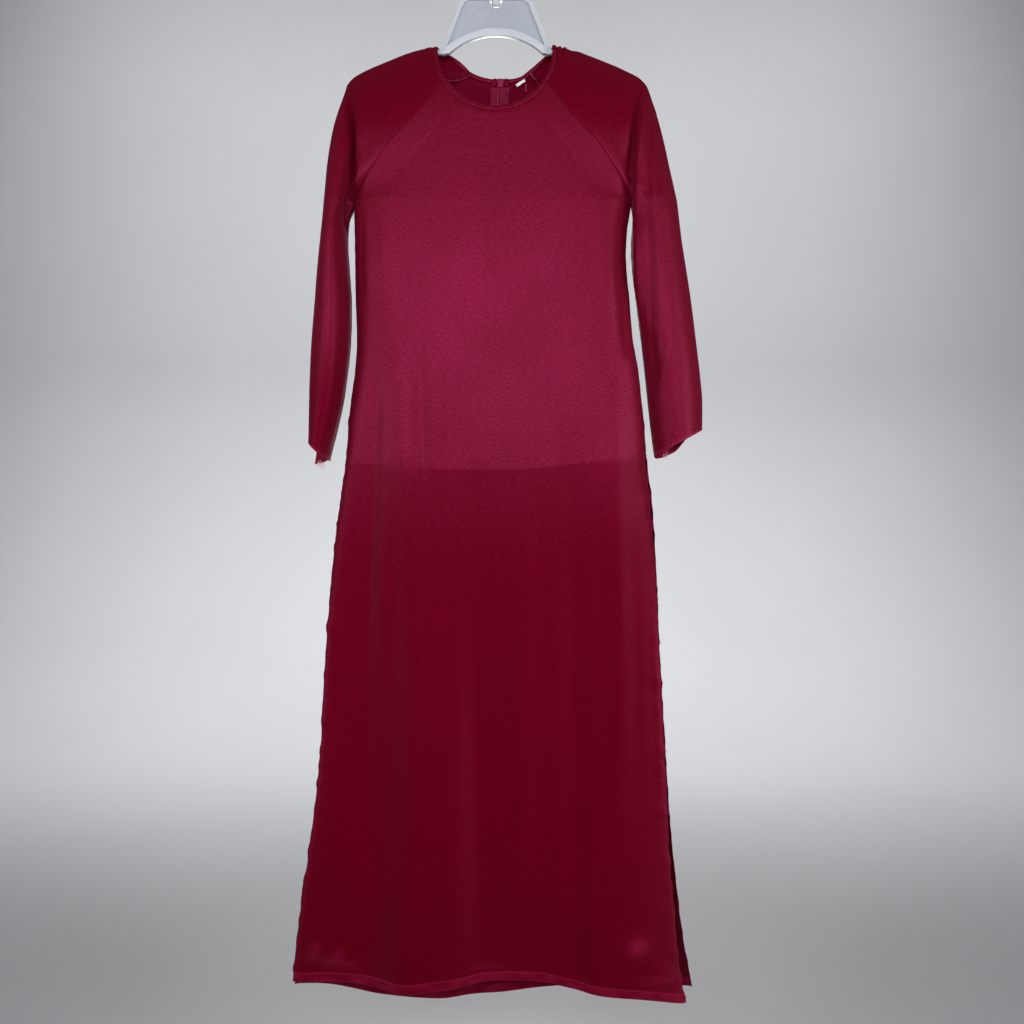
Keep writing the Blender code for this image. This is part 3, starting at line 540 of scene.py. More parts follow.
# Body panels: folds, seed and height of the unevenness, share of the side puckers that is left in the
# raglan seams, and puckers of the sides and of the slits
FRONT_BODY = (FRONT_FOLDS, 11, 0.9, 0.25, FRONT_SIDES, FRONT_SLITS)
BACK_BODY = (BACK_FOLDS, 12, 1.0, 0.3, BACK_SIDES, BACK_SLITS)
BODY_RUMPLE = 150.0
SLEEVE_RUMPLE = 90.0

# Bunched cloth beside the neckline: side, share along the shoulder, half width as a share, height
NECK_BUNCHES = (
    (1, 0.986, 0.007, 1.6),
    (1, 0.974, 0.005, -1),
    (1, 0.961, 0.008, 1.9),
    (1, 0.925, 0.014, -0.7),
    (1, 0.885, 0.016, 0.5),
    (-1, 0.975, 0.01, 0.7),
)


def smooth(rows, column, places):
    """Read a column of a table at places in its first column, on a smooth curve through the rows."""
    table = np.array(rows if rows[0][0] < rows[-1][0] else rows[::-1], dtype=float)
    at, value = table[:, 0], table[:, column]
    slope = np.empty(len(at))
    slope[1:-1] = (value[2:] - value[:-2]) / (at[2:] - at[:-2])
    slope[0] = (value[1] - value[0]) / (at[1] - at[0])
    slope[-1] = (value[-1] - value[-2]) / (at[-1] - at[-2])
    places = np.clip(places, at[0], at[-1])
    low = np.clip(np.searchsorted(at, places, side="right") - 1, 0, len(at) - 2)
    span = at[low + 1] - at[low]
    share = (places - at[low]) / span
    rise = value[low + 1] - value[low]
    pull_in, pull_out = slope[low] * span, slope[low + 1] * span
    bend = share * (share - 1.0)
    return value[low] + rise * share + bend * ((share - 1.0) * (pull_in - rise) + share * (pull_out - rise))


def mix(start, end, share):
    """The value, or the point, that lies a share of the way from start to end."""
    return start + (end - start) * share


def ease(share):
    """Run from 0 to 1 with level ends."""
    share = np.clip(share, 0.0, 1.0)
    return share * share * (3.0 - 2.0 * share)


def rounded(across, power, root):
    """How full the body is at a place across it: 1 in the middle, 0 at the side."""
    return np.maximum(1.0 - np.abs(across) ** power, 0.0) ** root


def together(*values):
    """Coordinates that depend on rows, columns or both, as one grid of points."""
    return np.stack(np.broadcast_arrays(*values), axis=-1)


def length_of(vectors):
    return np.linalg.norm(vectors, axis=-1)


def unit(vectors):
    return vectors / np.maximum(length_of(vectors), 1e-9)[..., None]


def evened(line, passes, level=lambda total: total / 4.0):
    """A line of points or directions, evened out between its two ends."""
    for _ in range(passes):
        line[1:-1] = level(line[:-2] + 2.0 * line[1:-1] + line[2:])
    return line


def resampled(points, count):
    """The line through some points, as more points."""
    run = np.linspace(0.0, len(points) - 1.0, count)
    return np.stack([np.interp(run, np.arange(len(points)), values) for values in zip(*points)], axis=-1)


def run_of(line):
    """Distance along a line at each of its points."""
    return np.concatenate([[0.0], np.cumsum(length_of(np.diff(line, axis=0)))])


def torso_points(face, height, across):
    """Points between armpit and slit, on the front (face -1) or the back (face 1)."""
    left, right = smooth(TORSO, 1, height), smooth(TORSO, 2, height)
    depth = smooth(TORSO, 3 if face < 0 else 4, height)
    x = mix(left, right, 0.5 + 0.5 * across)
    return together(x, face * depth * rounded(across, SIDE_POWER, SIDE_ROOT), height)


def skirt_points(face, share, across):
    """Points below the slit; share is 0 at the top of the slit and 1 at the hem."""
    sides, hem, length = BACK_SKIRT, BACK_HEM, BACK_LENGTH
    if face < 0:
        sides, hem, length = FRONT_SKIRT, FRONT_HEM, FRONT_LENGTH
    level = mix(SLIT_TOP, length, share)
    left, right, depth = (smooth(sides, column, level) for column in (1, 2, 3))
    edge = SLIT_SPREAD * ease(share / SLIT_SPREAD_END)
    fullness = mix(edge, 1.0, rounded(across, SIDE_POWER, SIDE_ROOT))
    wave = smooth(hem, 2, across) * share * share
    x = mix(left, right, 0.5 + 0.5 * across)
    height = mix(SLIT_TOP, smooth(hem, 1, across), share)
    return together(x, face * (depth * fullness + wave), height)


def upper_middle(share):
    """Middle of the garment between the armpits (share 0) and the neckline (share 1)."""
    return mix(ARMPIT_CENTRE, NECK_CENTRE, share)


def seam_points(face, side, share):
    """Points on a raglan seam, front or back, left (side -1) or right (side 1)."""
    table = FRONT_RAGLAN if face < 0 else BACK_RAGLAN
    x, z, depth = (smooth(table, column, share) for column in (1, 2, 3))
    if face > 0:
        z = z - np.where(side > 0, BACK_SCOOP, 0.0) * ease(4.0 * share - 3.0)
    return together(upper_middle(share) + side * x, face * depth, z)


def yoke_points(face, share, across):
    """Points between the raglan seams; share is 0 at the armpits and 1 at the neckline."""
    side = np.where(across > 0.0, 1.0, -1.0)
    seam = seam_points(face, side, share)
    middle_height = mix(ARMPIT, FRONT_NECK if face < 0 else BACK_NECK, share)
    curve = NECK_CURVE if face < 0 else BACK_NECK_CURVE
    rise = (1.0 - np.sqrt(1.0 - (curve * across) ** 2)) / (1.0 - math.sqrt(1.0 - curve ** 2))
    height = mix(middle_height, seam[..., 2], rise)
    full = mix(TORSO[0][3 if face < 0 else 4], NECK_DEPTH, share)
    settle = np.minimum(share / YOKE_BLEND, 1.0)
    level = rounded(across, mix(SIDE_POWER, YOKE_POWER, settle), mix(SIDE_ROOT, YOKE_ROOT, settle))
    middle = upper_middle(share) + (BACK_SLIDE * share if face > 0 else 0.0)
    x = mix(middle, seam[..., 0], np.abs(across))
    return together(x, face * mix(np.abs(seam[..., 1]), full, level), height)


def arm_ring(side, height, turn):
    """Where a sleeve's ring lies at a height: x, y, share from the underarm outwards, and half depth."""
    columns = (1, 2, 5) if side < 0 else (4, 3, 6)
    outer, inner, depth = (smooth(ARMS, column, height) for column in columns)
    armpit = ARMPIT_CENTRE + side * FRONT_RAGLAN[0][1]
    inner = mix(inner, armpit, ease(1.0 - (ARMPIT - height) / 22.0))
    angle = (1.0 - np.abs(turn)) * math.pi
    out = 0.5 - 0.5 * np.cos(angle)
    return mix(inner, outer, out), np.copysign(depth * np.sin(angle), turn), out, depth


def upper_arm_points(side, height, turn):
    """Points on a sleeve between the elbow and the armpit; turn is -1 or 1 at the underarm."""
    x, y, _, _ = arm_ring(side, height, turn)
    return together(x, y, height)


def forearm_points(side, share, turn):
    """Points on a sleeve from the elbow (share 0) to its slanted cuff (share 1)."""
    outer_high, inner_low = CUFFS[side]
    height = mix(ELBOW, 0.5 * (outer_high + inner_low), share)
    x, y, out, depth = arm_ring(side, height, turn)
    hang = np.maximum(y, 0.0) / depth * ease((0.84 - out) / 0.34)
    edge = mix(inner_low, outer_high, out) - CUFF_BACK_DROP[side] * hang
    return together(x, y, mix(ELBOW, edge, share))


def cap_points(side, share, turn):
    """Points on a sleeve above the armpit; turn runs from the front seam, -1, to the back seam, 1."""
    front, back = seam_points(-1, side, share), seam_points(1, side, share)
    seam = np.where((turn < 0.0)[..., None], front, back)
    fold_x = smooth(SHOULDER, 1 if side < 0 else 2, share)
    fold_z = smooth(SHOULDER, 3, share)
    angle = (1.0 - np.abs(turn)) * 0.5 * math.pi
    tube = np.maximum(1.0 - share / TUBE_END, 0.0) ** 2
    out = mix(np.sin(angle), 0.5 - 0.5 * np.cos(2.0 * angle), tube)
    neck_bow = np.where(turn < 0.0, NECK_BOW, BACK_NECK_BOW if side < 0 else 0.0)
    bow = neck_bow * ease(2.0 * share - 1.0) * 4.0 * out * (1.0 - out)
    arm_depth = smooth(ARMS, 5 if side < 0 else 6, ARMPIT)
    depth = np.abs(seam[..., 1]) * np.cos(angle) + tube * arm_depth * np.sin(2.0 * angle)
    crease = CREASE_DEPTH * np.sin(math.pi * np.minimum(share / CREASE_END, 1.0))
    depth = depth - crease * np.exp(-(((out - CREASE_PLACE) / CREASE_WIDTH) ** 2))
    x = mix(seam[..., 0], fold_x, out) + side * bow
    z = mix(seam[..., 2], fold_z, out) - bow
    return together(x, np.where(turn < 0.0, -depth, depth), z)


def steps(start, end, spacing):
    """Evenly spaced values from start to end, both included."""
    count = max(int(round(abs(end - start) / spacing)), 1)
    return np.linspace(start, end, count + 1)


# Rows of the grids: distances from the hem and from the cuff, and shares of the yoke and of the caps
HEM_ROWS = (0.0, 1.2, 2.8, 5.0, 7.5, 9.6, 10.8, 11.7, 12.4, 13.6, 16.0, 19.5, 24.0, 30.0)
CUFF_ROWS = (0.0, 0.8, 1.8, 3.0, 4.0, 4.8, 5.6, 7.5, 10.5, 14.0)
YOKE_ROWS = np.concatenate([np.linspace(0.0, 0.95, 40), (0.965, 0.98, 0.99, 1.0)])
CAP_ROWS = np.concatenate([np.linspace(0.0, 0.84, 40), np.linspace(0.846, 0.99, 28), (1.0,)])

# Skirt rows are close together between these depths, over the lining's edge, and nowhere in a plain panel
LINING_ROWS = (690.0, 714.0)
PLAIN_ROWS = (700.0, 700.0)

# Smoothing below the armpits, and where across the panel it starts to be held (start, reach)
RELAX_PASSES = 160
RELAX_HOLD = (0.72, 0.26)

# Columns across the front and backs, with closer ones over the zip, and round the sleeves
SIDE_COLUMNS = 128
ZIP_COLUMNS = (0.9, 1.8, 3.0, 4.5, 7.0, 10.0, 14.0)
PRINT_COLUMNS = np.arange(-18.0, 8.0, 1.1)
ARM_COLUMNS = 96
BINDING_SIDES = 16

# Waves that make up the cloth's unevenness, and the gap at a sewn seam
RUMPLE_WAVES = 7
SEAM_GAP = 0.3

# How far from a sewn edge the folds grow to their full height
SIDE_HOLD = 26.0
NECK_HOLD = 22.0
SLEEVE_HOLD = 14.0
DEEP_HOLD = 2.5

# Over what height one kind of edge passes into the next, at the slits' tops and at the armpits
SLIT_FADE = 12.0
ARMPIT_FADE = 25.0

# The lining: its turned edge, and its distance from the front
LINING_TURN = 9.0
LINING_CLEAR = 1.6


def skirt_shares(length, lining):
    """Rows of a panel below the slit, hem edge first, close together at the hem and the lining's edge."""
    drop = SLIT_TOP - length
    high, low = (depth + SLIT_TOP for depth in (LINING_ROWS if lining else PLAIN_ROWS))
    depth = np.concatenate([
        drop - np.array(HEM_ROWS),
        steps(drop - HEM_ROWS[-1] - 5.0, low, 6.0),
        steps(low - 1.5, high, 1.5) if lining else (),
        steps(high - 5.0, 6.0, 6.0),
    ])
    return (depth / drop)[:, None]


def relax(points, first, across):
    """Take the kink at armpit height out of a panel, but for the sewn edges that hold it."""
    start, reach = RELAX_HOLD
    held = ease((np.abs(across) - start) / reach)[None, :]
    before = points[first:, :, 1]
    depth = before.copy()
    for _ in range(RELAX_PASSES):
        level = 0.25 * depth[:-2] + 0.5 * depth[1:-1] + 0.25 * depth[2:]
        depth[1:-1] = mix(level, before[1:-1], held)
    points[first:, :, 1] = depth


def panel_grid(face, across):
    """A front or back panel from hem to neckline, and how many of its rows are below the slit."""
    length = FRONT_LENGTH if face < 0 else BACK_LENGTH
    shares = skirt_shares(length, face < 0)
    heights = steps(SLIT_TOP, ARMPIT, 5.0)[:, None]
    row = across[None, :]
    parts = [skirt_points(face, shares, row), torso_points(face, heights, row)]
    parts.append(yoke_points(face, YOKE_ROWS[1:, None], row))
    points = np.concatenate(parts)
    relax(points, len(shares), across)
    return points, len(shares)


def sleeve_grid(side):
    """A sleeve from cuff to neckline, and how many of its rows are closed rings."""
    turn = np.linspace(-1.0, 1.0, ARM_COLUMNS + 1)[None, :]
    turn = side * np.sign(turn) * (1.0 - (1.0 - np.abs(turn)) ** 1.25)
    drop = ELBOW - 0.5 * sum(CUFFS[side])
    depth = np.concatenate([drop - np.array(CUFF_ROWS), steps(drop - CUFF_ROWS[-1] - 4.0, 4.0, 4.5)])
    below = forearm_points(side, (depth / drop)[:, None], turn)
    above = upper_arm_points(side, steps(ELBOW, ARMPIT - 4.0, 4.5)[:, None], turn)
    cap = cap_points(side, CAP_ROWS[:, None], turn)
    return np.concatenate([below, above, cap]), len(below) + len(above)


def measures(points):
    """Distances in the cloth at each point: from the first column, the last column, the hem and the top."""
    side_steps = length_of(np.diff(points, axis=1))
    up_steps = length_of(np.diff(points, axis=0))
    left = np.concatenate([np.zeros((len(points), 1)), np.cumsum(side_steps, axis=1)], axis=1)
    up = np.concatenate([np.zeros((1, points.shape[1])), np.cumsum(up_steps, axis=0)])
    return left, left[:, -1:] - left, up, up[-1:] - up


def grid_normals(points):
    """Outward directions of a grid whose columns run left to right, seen from outside."""
    return unit(np.cross(np.gradient(points, axis=1), np.gradient(points, axis=0)))


def fold_line(points, x0, z0, x1, z1, bow):
    """How full a fold is along its run, which fades towards its two ends, and the distance to its right."""
    x, z = points[..., 0], points[..., 2]
    run = math.hypot(x1 - x0, z1 - z0)
    along = ((x - x0) * (x1 - x0) + (z - z0) * (z1 - z0)) / run ** 2
    inside = np.clip(along, 0.0, 1.0)
    aside = ((z - z0) * (x1 - x0) - (x - x0) * (z1 - z0)) / run - bow * 4.0 * inside * (1.0 - inside)
    return np.sin(math.pi * inside) ** 0.8 * (along > 0.0) * (along < 1.0), aside


def folds(points, table):
    """Height of listed ridges and troughs."""
    total = np.zeros(points.shape[:-1])
    for *line, wide, height in table:
        fade, aside = fold_line(points, *line)
        left, right = wide if isinstance(wide, tuple) else (wide, wide)
        total += height * fade * np.exp(-((aside / np.where(aside < 0.0, left, right)) ** 2))
    return total


def puckers(along, distance, seed, spacing, reach, height):
    """Small uneven ridges that run out from a line of stitches and die away."""
    random = np.random.default_rng(seed)
    total = np.zeros(along.shape)
    near = distance < 2.5 * reach
    s, d = along[near], distance[near]
    found = np.zeros(s.shape)
    place = random.uniform(0.0, spacing)
    while place < along.max():
        tall, far = height * random.uniform(0.25, 1.0), reach * random.uniform(0.5, 1.2)
        wide, lean = spacing * random.uniform(0.2, 0.36), random.uniform(-0.4, 0.4)
        found += tall * np.exp(-(((s - place - lean * d) / wide) ** 2) - (d / far) ** 2)
        place += spacing * random.uniform(0.55, 1.7)
    total[near] = found
    return total


def rumple(points, seed, height, size):
    """A slow unevenness of the cloth, from a few crossing waves."""
    random = np.random.default_rng(seed)
    x, z = points[..., 0], points[..., 2]
    total = np.zeros(x.shape)
    for _ in range(RUMPLE_WAVES):
        turn, shift = random.uniform(-1.2, 1.2), random.uniform(0.0, 2.0 * math.pi)
        wave = size * random.uniform(0.6, 1.8)
        total += np.sin((x * math.cos(turn) + z * math.sin(turn) * 0.5) * 2.0 * math.pi / wave + shift)
    return total * height / RUMPLE_WAVES


def groove(distance, depth, wide):
    """A soft trough at distance 0."""
    return -depth * np.exp(-((distance / wide) ** 2))


def mesh_object(name, corners, faces, uv=None):
    """An object from corners in millimetres, shaded smooth, with a flat map in metres."""
    mesh = bpy.data.meshes.new(name)
    mesh.from_pydata((np.asarray(corners) * MM).tolist(), [], faces)
    mesh.update()
    mesh.shade_smooth()
    if uv is not None:
        layer = mesh.uv_layers.new(name="UVMap")
        order = np.empty(len(mesh.loops), dtype=np.int32)
        mesh.loops.foreach_get("vertex_index", order)
        layer.data.foreach_set("uv", (np.asarray(uv)[order] * MM).ravel())
    made = bpy.data.objects.new(name, mesh)
    bpy.context.scene.collection.objects.link(made)
    return made


def grid_faces(rows, columns, first=0, turned=False):
    """The four-sided faces of a grid of points numbered row by row."""
    faces = []
    for r in range(rows - 1):
        for c in range(columns - 1):
            a = first + r * columns + c
            face = (a, a + 1, a + columns + 1, a + columns)
            faces.append(face[::-1] if turned else face)
    return faces


def border(rows, columns):
    """Point numbers round the edge of a grid, left to right along its first row and on."""
    loop = list(range(columns))
    loop += [r * columns + columns - 1 for r in range(1, rows)]
    loop += [(rows - 1) * columns + c for c in range(columns - 2, -1, -1)]
    loop += [r * columns for r in range(rows - 2, 0, -1)]
    return loop


def cloth_shell(name, points, out, into, uv, normals=None):
    """A closed shell of cloth on a grid: its face, its inside, and a rounded edge all round."""
    rows, columns = points.shape[:2]
    if normals is None:
        normals = grid_normals(points)
    outer = (points + normals * np.broadcast_to(out, points.shape[:2])[..., None]).reshape(-1, 3)
    inner = (points - normals * np.broadcast_to(into, points.shape[:2])[..., None]).reshape(-1, 3)
    loop = border(rows, columns)
    away = np.zeros((rows, columns, 3))
    away[0] += unit(points[0] - points[1])
    away[-1] += unit(points[-1] - points[-2])
    away[:, 0] += unit(points[:, 0] - points[:, 1])
    away[:, -1] += unit(points[:, -1] - points[:, -2])
    away = unit(away).reshape(-1, 3)
    thick = length_of(outer - inner)[:, None]
    rim = ((outer + inner) / 2.0 + away * thick * 0.4)[loop]
    corners = np.concatenate([outer, inner, rim])
    count = rows * columns
    faces = grid_faces(rows, columns) + grid_faces(rows, columns, count, turned=True)
    for i, a in enumerate(loop):
        j = (i + 1) % len(loop)
        b = loop[j]
        faces.append((b, a, 2 * count + i, 2 * count + j))
        faces.append((2 * count + j, 2 * count + i, count + a, count + b))
    flat_uv = uv.reshape(-1, 2)
    return mesh_object(name, corners, faces, np.concatenate([flat_uv, flat_uv, flat_uv[loop]]))


def mark(piece, name, values):
    """Give each point of a shell a value that its finish reads."""
    layer = piece.data.attributes.new(name, "FLOAT", "POINT")
    flat = values.ravel()
    full = np.concatenate([flat, flat, flat[border(*values.shape)]])
    layer.data.foreach_set("value", full.astype(np.float32))


def draw_back(points, columns, rows=slice(None)):
    """Move a sewn edge back into its panel by half of the gap of a seam."""
    for column in columns:
        inward = 1 if column == 0 else -2
        away = points[rows, inward] - points[rows, column]
        points[rows, column] += unit(away) * (SEAM_GAP / 2)


class Panel:
    """A panel's final grid, with what other pieces are placed from."""

    def __init__(self, points, uv):
        self.points = points
        self.uv = uv
        self.normals = grid_normals(points)

    def spot(self, row, column):
        """A point and its outward direction at a fractional place in the grid."""
        r, c = int(row), int(column)
        r, c = min(r, len(self.points) - 2), min(c, self.points.shape[1] - 2)
        fr, fc = row - r, column - c
        values = []
        for grid in (self.points, self.normals):
            low = mix(grid[r, c], grid[r, c + 1], fc)
            high = mix(grid[r + 1, c], grid[r + 1, c + 1], fc)
            values.append(mix(low, high, fr))
        return values[0], values[1] / np.linalg.norm(values[1])


def flat_map(points, centre):
    """Distances in the cloth, right of a centre column and up from the hem, for the weave."""
    left, _, up, _ = measures(points)
    return np.stack([left - left[:, centre][:, None], up], axis=-1)


def turned_tone_and_highlight(turned, along, up):
    """How pale the turned-in edges are where the cloth is double, with painted highlights mottled over the
    hem's band, and a bright line at the hem's stitches.
    """
    painted_mottle = 0.5 + 0.5 * np.sin(along / 7.3 + 1.9 * np.sin(along / 19.0)) * np.sin(along / 23.0 + up / 4.0)
    line = np.exp(-(((up - HEM_TURN + 0.4) / 0.8) ** 2))
    palest = mix(0.12, 0.6, ease((HEM_TURN + 3.0 - up) / 3.0))
    return np.maximum(turned * mix(0.06, palest, painted_mottle), 0.9 * line)


def past(level, z, fade):
    """Run from 0 to 1 on the way up past a level."""
    return ease((z - level) / fade + 0.5)


def pair_puckers(up, sides, seed, shapes):
    """Puckers along the sides of a panel, each with a seed and a shape of its own."""
    return sum(puckers(up, side, seed + i, *shape) for i, (side, shape) in enumerate(zip(sides, shapes)))


def seam_groove(side, lower, raglan):
    """The groove along a seam: one shape below the armpit and a finer one above it."""
    return mix(groove(side, *lower), groove(side, *RAGLAN_GROOVE), raglan)


def body_relief(points, runs, sides, seed, body):
    """How far a body panel stands out: folds, side seams, slit edges, hem and neckline.

    With it come the distance from the nearest side, and where that side is open.
    """
    table, wave_seed, height, kept, side_shapes, slit_shapes = body
    left, _, up, down = runs
    z = points[..., 2]
    edge = np.minimum.reduce(sides)
    sewn = past(SLIT_TOP, z, SLIT_FADE)
    raglan = past(ARMPIT, z, ARMPIT_FADE)
    relief = folds(points, table) * ease(edge / SIDE_HOLD) + rumple(points, wave_seed, height, BODY_RUMPLE)
    relief *= ease(down / NECK_HOLD) * 0.9 + 0.1
    relief += sewn * seam_groove(edge, SIDE_GROOVE, raglan)
    relief += sewn * mix(1.0, kept, raglan) * pair_puckers(up, sides, seed + 1, side_shapes)
    seed += 1 + len(sides)
    slit_puckers = pair_puckers(up, sides, seed, slit_shapes)
    relief += (1.0 - sewn) * (slit_puckers + groove(edge - SLIT_STITCH, *SLIT_GROOVE))
    seed += len(sides)
    relief += puckers(left, up, seed, *HEM_PUCKERS) + groove(up - HEM_STITCH, *HEM_GROOVE)
    relief += puckers(left, down, seed + 1, *NECK_PUCKERS) + groove(down, *NECK_GROOVE)
    return relief, edge, 1.0 - sewn


def sewn_shell(name, points, turned, centre):
    """A panel's shell, thicker where it is turned in, and the panel for placing other pieces."""
    panel = Panel(points, flat_map(points, centre))
    return cloth_shell(name, points, CLOTH / 2, CLOTH / 2 + TURN_EXTRA * turned, panel.uv), panel


def make_front():
    """The front: hem, slit edges, the lining's print, the zip's print and its creases."""
    across = np.sin(math.pi * (np.linspace(0.0, 1.0, SIDE_COLUMNS + 1) - 0.5))
    across = np.unique(np.round(np.concatenate([across, PRINT_COLUMNS / 200.0]), 4))
    points, skirt = panel_grid(-1, across)
    runs = measures(points)
    left, right, up, _ = runs
    z = points[..., 2]
    relief, edge, open_edge = body_relief(points, runs, (left, right), 20, FRONT_BODY)
    edge_height = smooth(LINING_HEM, 1, across)[None, :]
    lined = past(edge_height, z, np.maximum(smooth(LINING_FADE, 1, across), 3.0)[None, :])
    relief += 0.1 * lined * ease(edge / 8.0)
    points = points + grid_normals(points) * relief[..., None]
    draw_back(points, (0, -1), slice(skirt, None))
    turned = np.maximum(ease(HEM_TURN - up), open_edge * ease((SLIT_TURN - edge) / 1.2))
    piece, panel = sewn_shell("front_cloth", points, turned, int(np.argmin(np.abs(across))))
    # Painted highlights at the hem's corners: paler, and with a glossier sheen
    painted_glint = np.zeros(z.shape)
    for middle, height, wide, tall, strength in PAINTED_GLINTS:
        painted_glint += strength * np.exp(-(((points[..., 0] - middle) / wide) ** 2) - ((z - height) / tall) ** 2)
    # Paler where lined or turned in, with painted highlights on the hem's band and at its corners
    paler = np.maximum(0.1 * lined, turned_tone_and_highlight(turned, left, up))
    mark(piece, "backing_and_highlight", np.maximum(paler, 0.9 * painted_glint))
    # A duller sheen below the lining, partly for the unlined cloth and partly as painted shade that deepens
    # downwards; glossier at the painted highlights, and with a painted sheen along the slits' open edges
    dull_and_shade = (1.0 - lined) * mix(0.6, 1.0, ease((edge_height - z) / 150.0)) * (1.0 - np.minimum(painted_glint, 1.0))
    painted_edge_sheen = 0.3 * open_edge * np.exp(-edge / 12.0)
    mark(piece, "matt_and_shade", dull_and_shade * (1.0 - 0.3 * turned) * (1.0 - painted_edge_sheen))
    return piece, panel, across


def make_backs():
    """The two back panels, parted by the centre seam and the concealed zip."""
    right = np.sin(0.5 * math.pi * np.linspace(1.0, 0.0, SIDE_COLUMNS // 2 + 1))
    right = np.concatenate([right, np.array(ZIP_COLUMNS) / 200.0])
    right = np.unique(np.round(right, 4))[::-1]
    made = {}
    for name, across, middle, seed in (("back_right", right, -1, 41), ("back_left", -right[::-1], 0, 51)):
        points, skirt = panel_grid(1, across)
        runs = measures(points)
        left, far, up, _ = runs
        z = points[..., 2]
        side, centre = (left, far) if middle == -1 else (far, left)
        relief, _, open_edge = body_relief(points, runs, (side,), seed, BACK_BODY)
        relief += groove(centre, *ARM_GROOVE) + puckers(up, centre, seed, *BACK_CENTRE)
        relief += past(ZIP_FOOT, z, 10.0) * 0.5 * np.exp(-((centre - 6.0) / 4.5) ** 2)
        points = points + grid_normals(points) * relief[..., None]
        outer_column = -1 - middle
        draw_back(points, (outer_column,), slice(skirt, None))
        draw_back(points, (middle,))
        turned = np.maximum(ease(HEM_TURN - up), open_edge * ease((SLIT_TURN - side) / 1.2))
        piece, panel = sewn_shell(name + "_cloth", points, turned, middle)
        mark(piece, "backing_and_highlight", turned_tone_and_highlight(turned, left, up))
        # A duller sheen below the hip, as on the front, and painted shade as a duller sheen over the yoke
        mark(piece, "matt_and_shade", np.maximum(ease(0.5 - (z + 660.0) / 160.0), 0.8 * ease((z + 250.0) / 60.0)))
        made[name] = (piece, panel)
    return made


def make_sleeves():
    """The two raglan sleeves, each sewn to a tube under the arm."""
    made = {}
    for side, name, seed, front_table, back_table, outer_from in SLEEVES:
        points, rings = sleeve_grid(side)
        first, last, up, down = measures(points)
        edge = np.minimum(first, last)
        front = ease(0.5 - points[..., 1] / 8.0)
        deep = front_table[0]
        sewn = ease(edge / DEEP_HOLD)
        relief = folds(points, front_table[1:]) * front + folds(points, back_table) * (1.0 - front)
        relief = relief * ease(edge / SLEEVE_HOLD) + folds(points, (deep,)) * front * sewn
        relief += rumple(points, seed, 0.7, SLEEVE_RUMPLE)
        cap = past(ARMPIT, points[..., 2], ARMPIT_FADE)
        relief += seam_groove(edge, ARM_GROOVE, cap)
        relief += mix(1.0, 0.3, cap) * pair_puckers(up, (first, last), seed + 1, ARM_SIDES)
        relief += puckers(first, up, seed + 3, *CUFF_PUCKERS) + groove(up - CUFF_STITCH, *CUFF_GROOVE)
        relief += puckers(first, down, seed + 4, *CAP_PUCKERS) + groove(down, *NECK_GROOVE)
        share = np.concatenate([np.zeros(rings), CAP_ROWS])[:, None]
        over = ease(1.2 - np.abs(points[..., 1]) / 24.0)
        for where, place, wide, height in NECK_BUNCHES:
            if where == side:
                relief += height * over * np.exp(-(((share - place) / wide) ** 2))
        fade, aside = fold_line(points, *deep[:5])
        lip = front * sewn * fade * np.exp(-(((aside - LIP_PLACE) / LIP_WIDTH) ** 2))
        points = points + grid_normals(points) * relief[..., None]
        points[..., 0] -= LIP_REACH[side] * lip
        draw_back(points, (0, -1))
        turned = ease((CUFF_TURN - up) / 0.8)
        piece, panel = sewn_shell(name + "_cloth", points, turned, ARM_COLUMNS // 2)
        mark(piece, "backing_and_highlight", np.maximum(0.2 * turned, 0.9 * ease((2.4 - up) / 0.8)))
        # Painted shade as a duller sheen over the caps, but for their outer side, and down the left forearm
        x, z = points[..., 0], points[..., 2]
        low_shade = 0.9 * ease((-500.0 - z) / 130.0) if side < 0 else 0.0
        outer = ease((side * x - outer_from) / 8.0) * ease((-180.0 - z) / 50.0)
        cap_shade = 0.95 * ease((z + 310.0) / 90.0) * (1.0 - 0.8 * outer)
        mark(piece, "matt_and_shade", np.maximum(cap_shade, low_shade))
        made[name] = (piece, panel)
    return made


def make_lining(front, across):
    """The front's thin lining, from neckline to hip, free at its lower edge."""
    edge_height = smooth(LINING_HEM, 1, across)
    rows = [r for r in range(len(front.points)) if front.points[r, :, 2].max() > LINING_HEM[-1][1]]
    columns = np.arange(3, len(across) - 3)
    base = front.points[rows][:, columns]
    normals = front.normals[rows][:, columns]
    hem = base[0].copy()
    hem[:, 2] = edge_height[columns]
    base = np.concatenate([hem[None], base[base[:, :, 2].min(axis=1) > edge_height.max() + 1.0]])
    normals = normals[-len(base):]
    _, _, up, down = measures(base)
    sway = 1.2 * (1.0 + np.sin(base[..., 0] / 31.0 + 0.8)) * np.exp(-((up / 90.0) ** 2))
    base = base - normals * (LINING_CLEAR + sway)[..., None] * ease(down / 2.0 + 0.4)[..., None]
    turned = ease(LINING_TURN - up)
    uv = flat_map(base, base.shape[1] // 2)
    return cloth_shell("lining_cloth", base, LINING / 2, LINING / 2 + 0.3 * turned, uv)


def neck_loop(front, backs, sleeves):
    """The neckline from one side of the zip round the front to the other: points, outward, upward."""
    grids = (backs["back_left"][1], sleeves["sleeve_left"][1], front, sleeves["sleeve_right"][1],
             backs["back_right"][1])
    tops, unders, normals = [], [], []
    for i, grid in enumerate(grids):
        start = 0 if i == 0 else 1
        tops.append(grid.points[-1][start:])
        unders.append(grid.points[-3][start:])
        normals.append(grid.normals[-3][start:])
    top, under, out = (np.concatenate(part) for part in (tops, unders, normals))
    out, top = evened(out, 6, unit), evened(top, 6)
    up = top - under
    up = unit(up - out * np.sum(up * out, axis=1)[:, None])
    return top, out, evened(up, 8, unit)


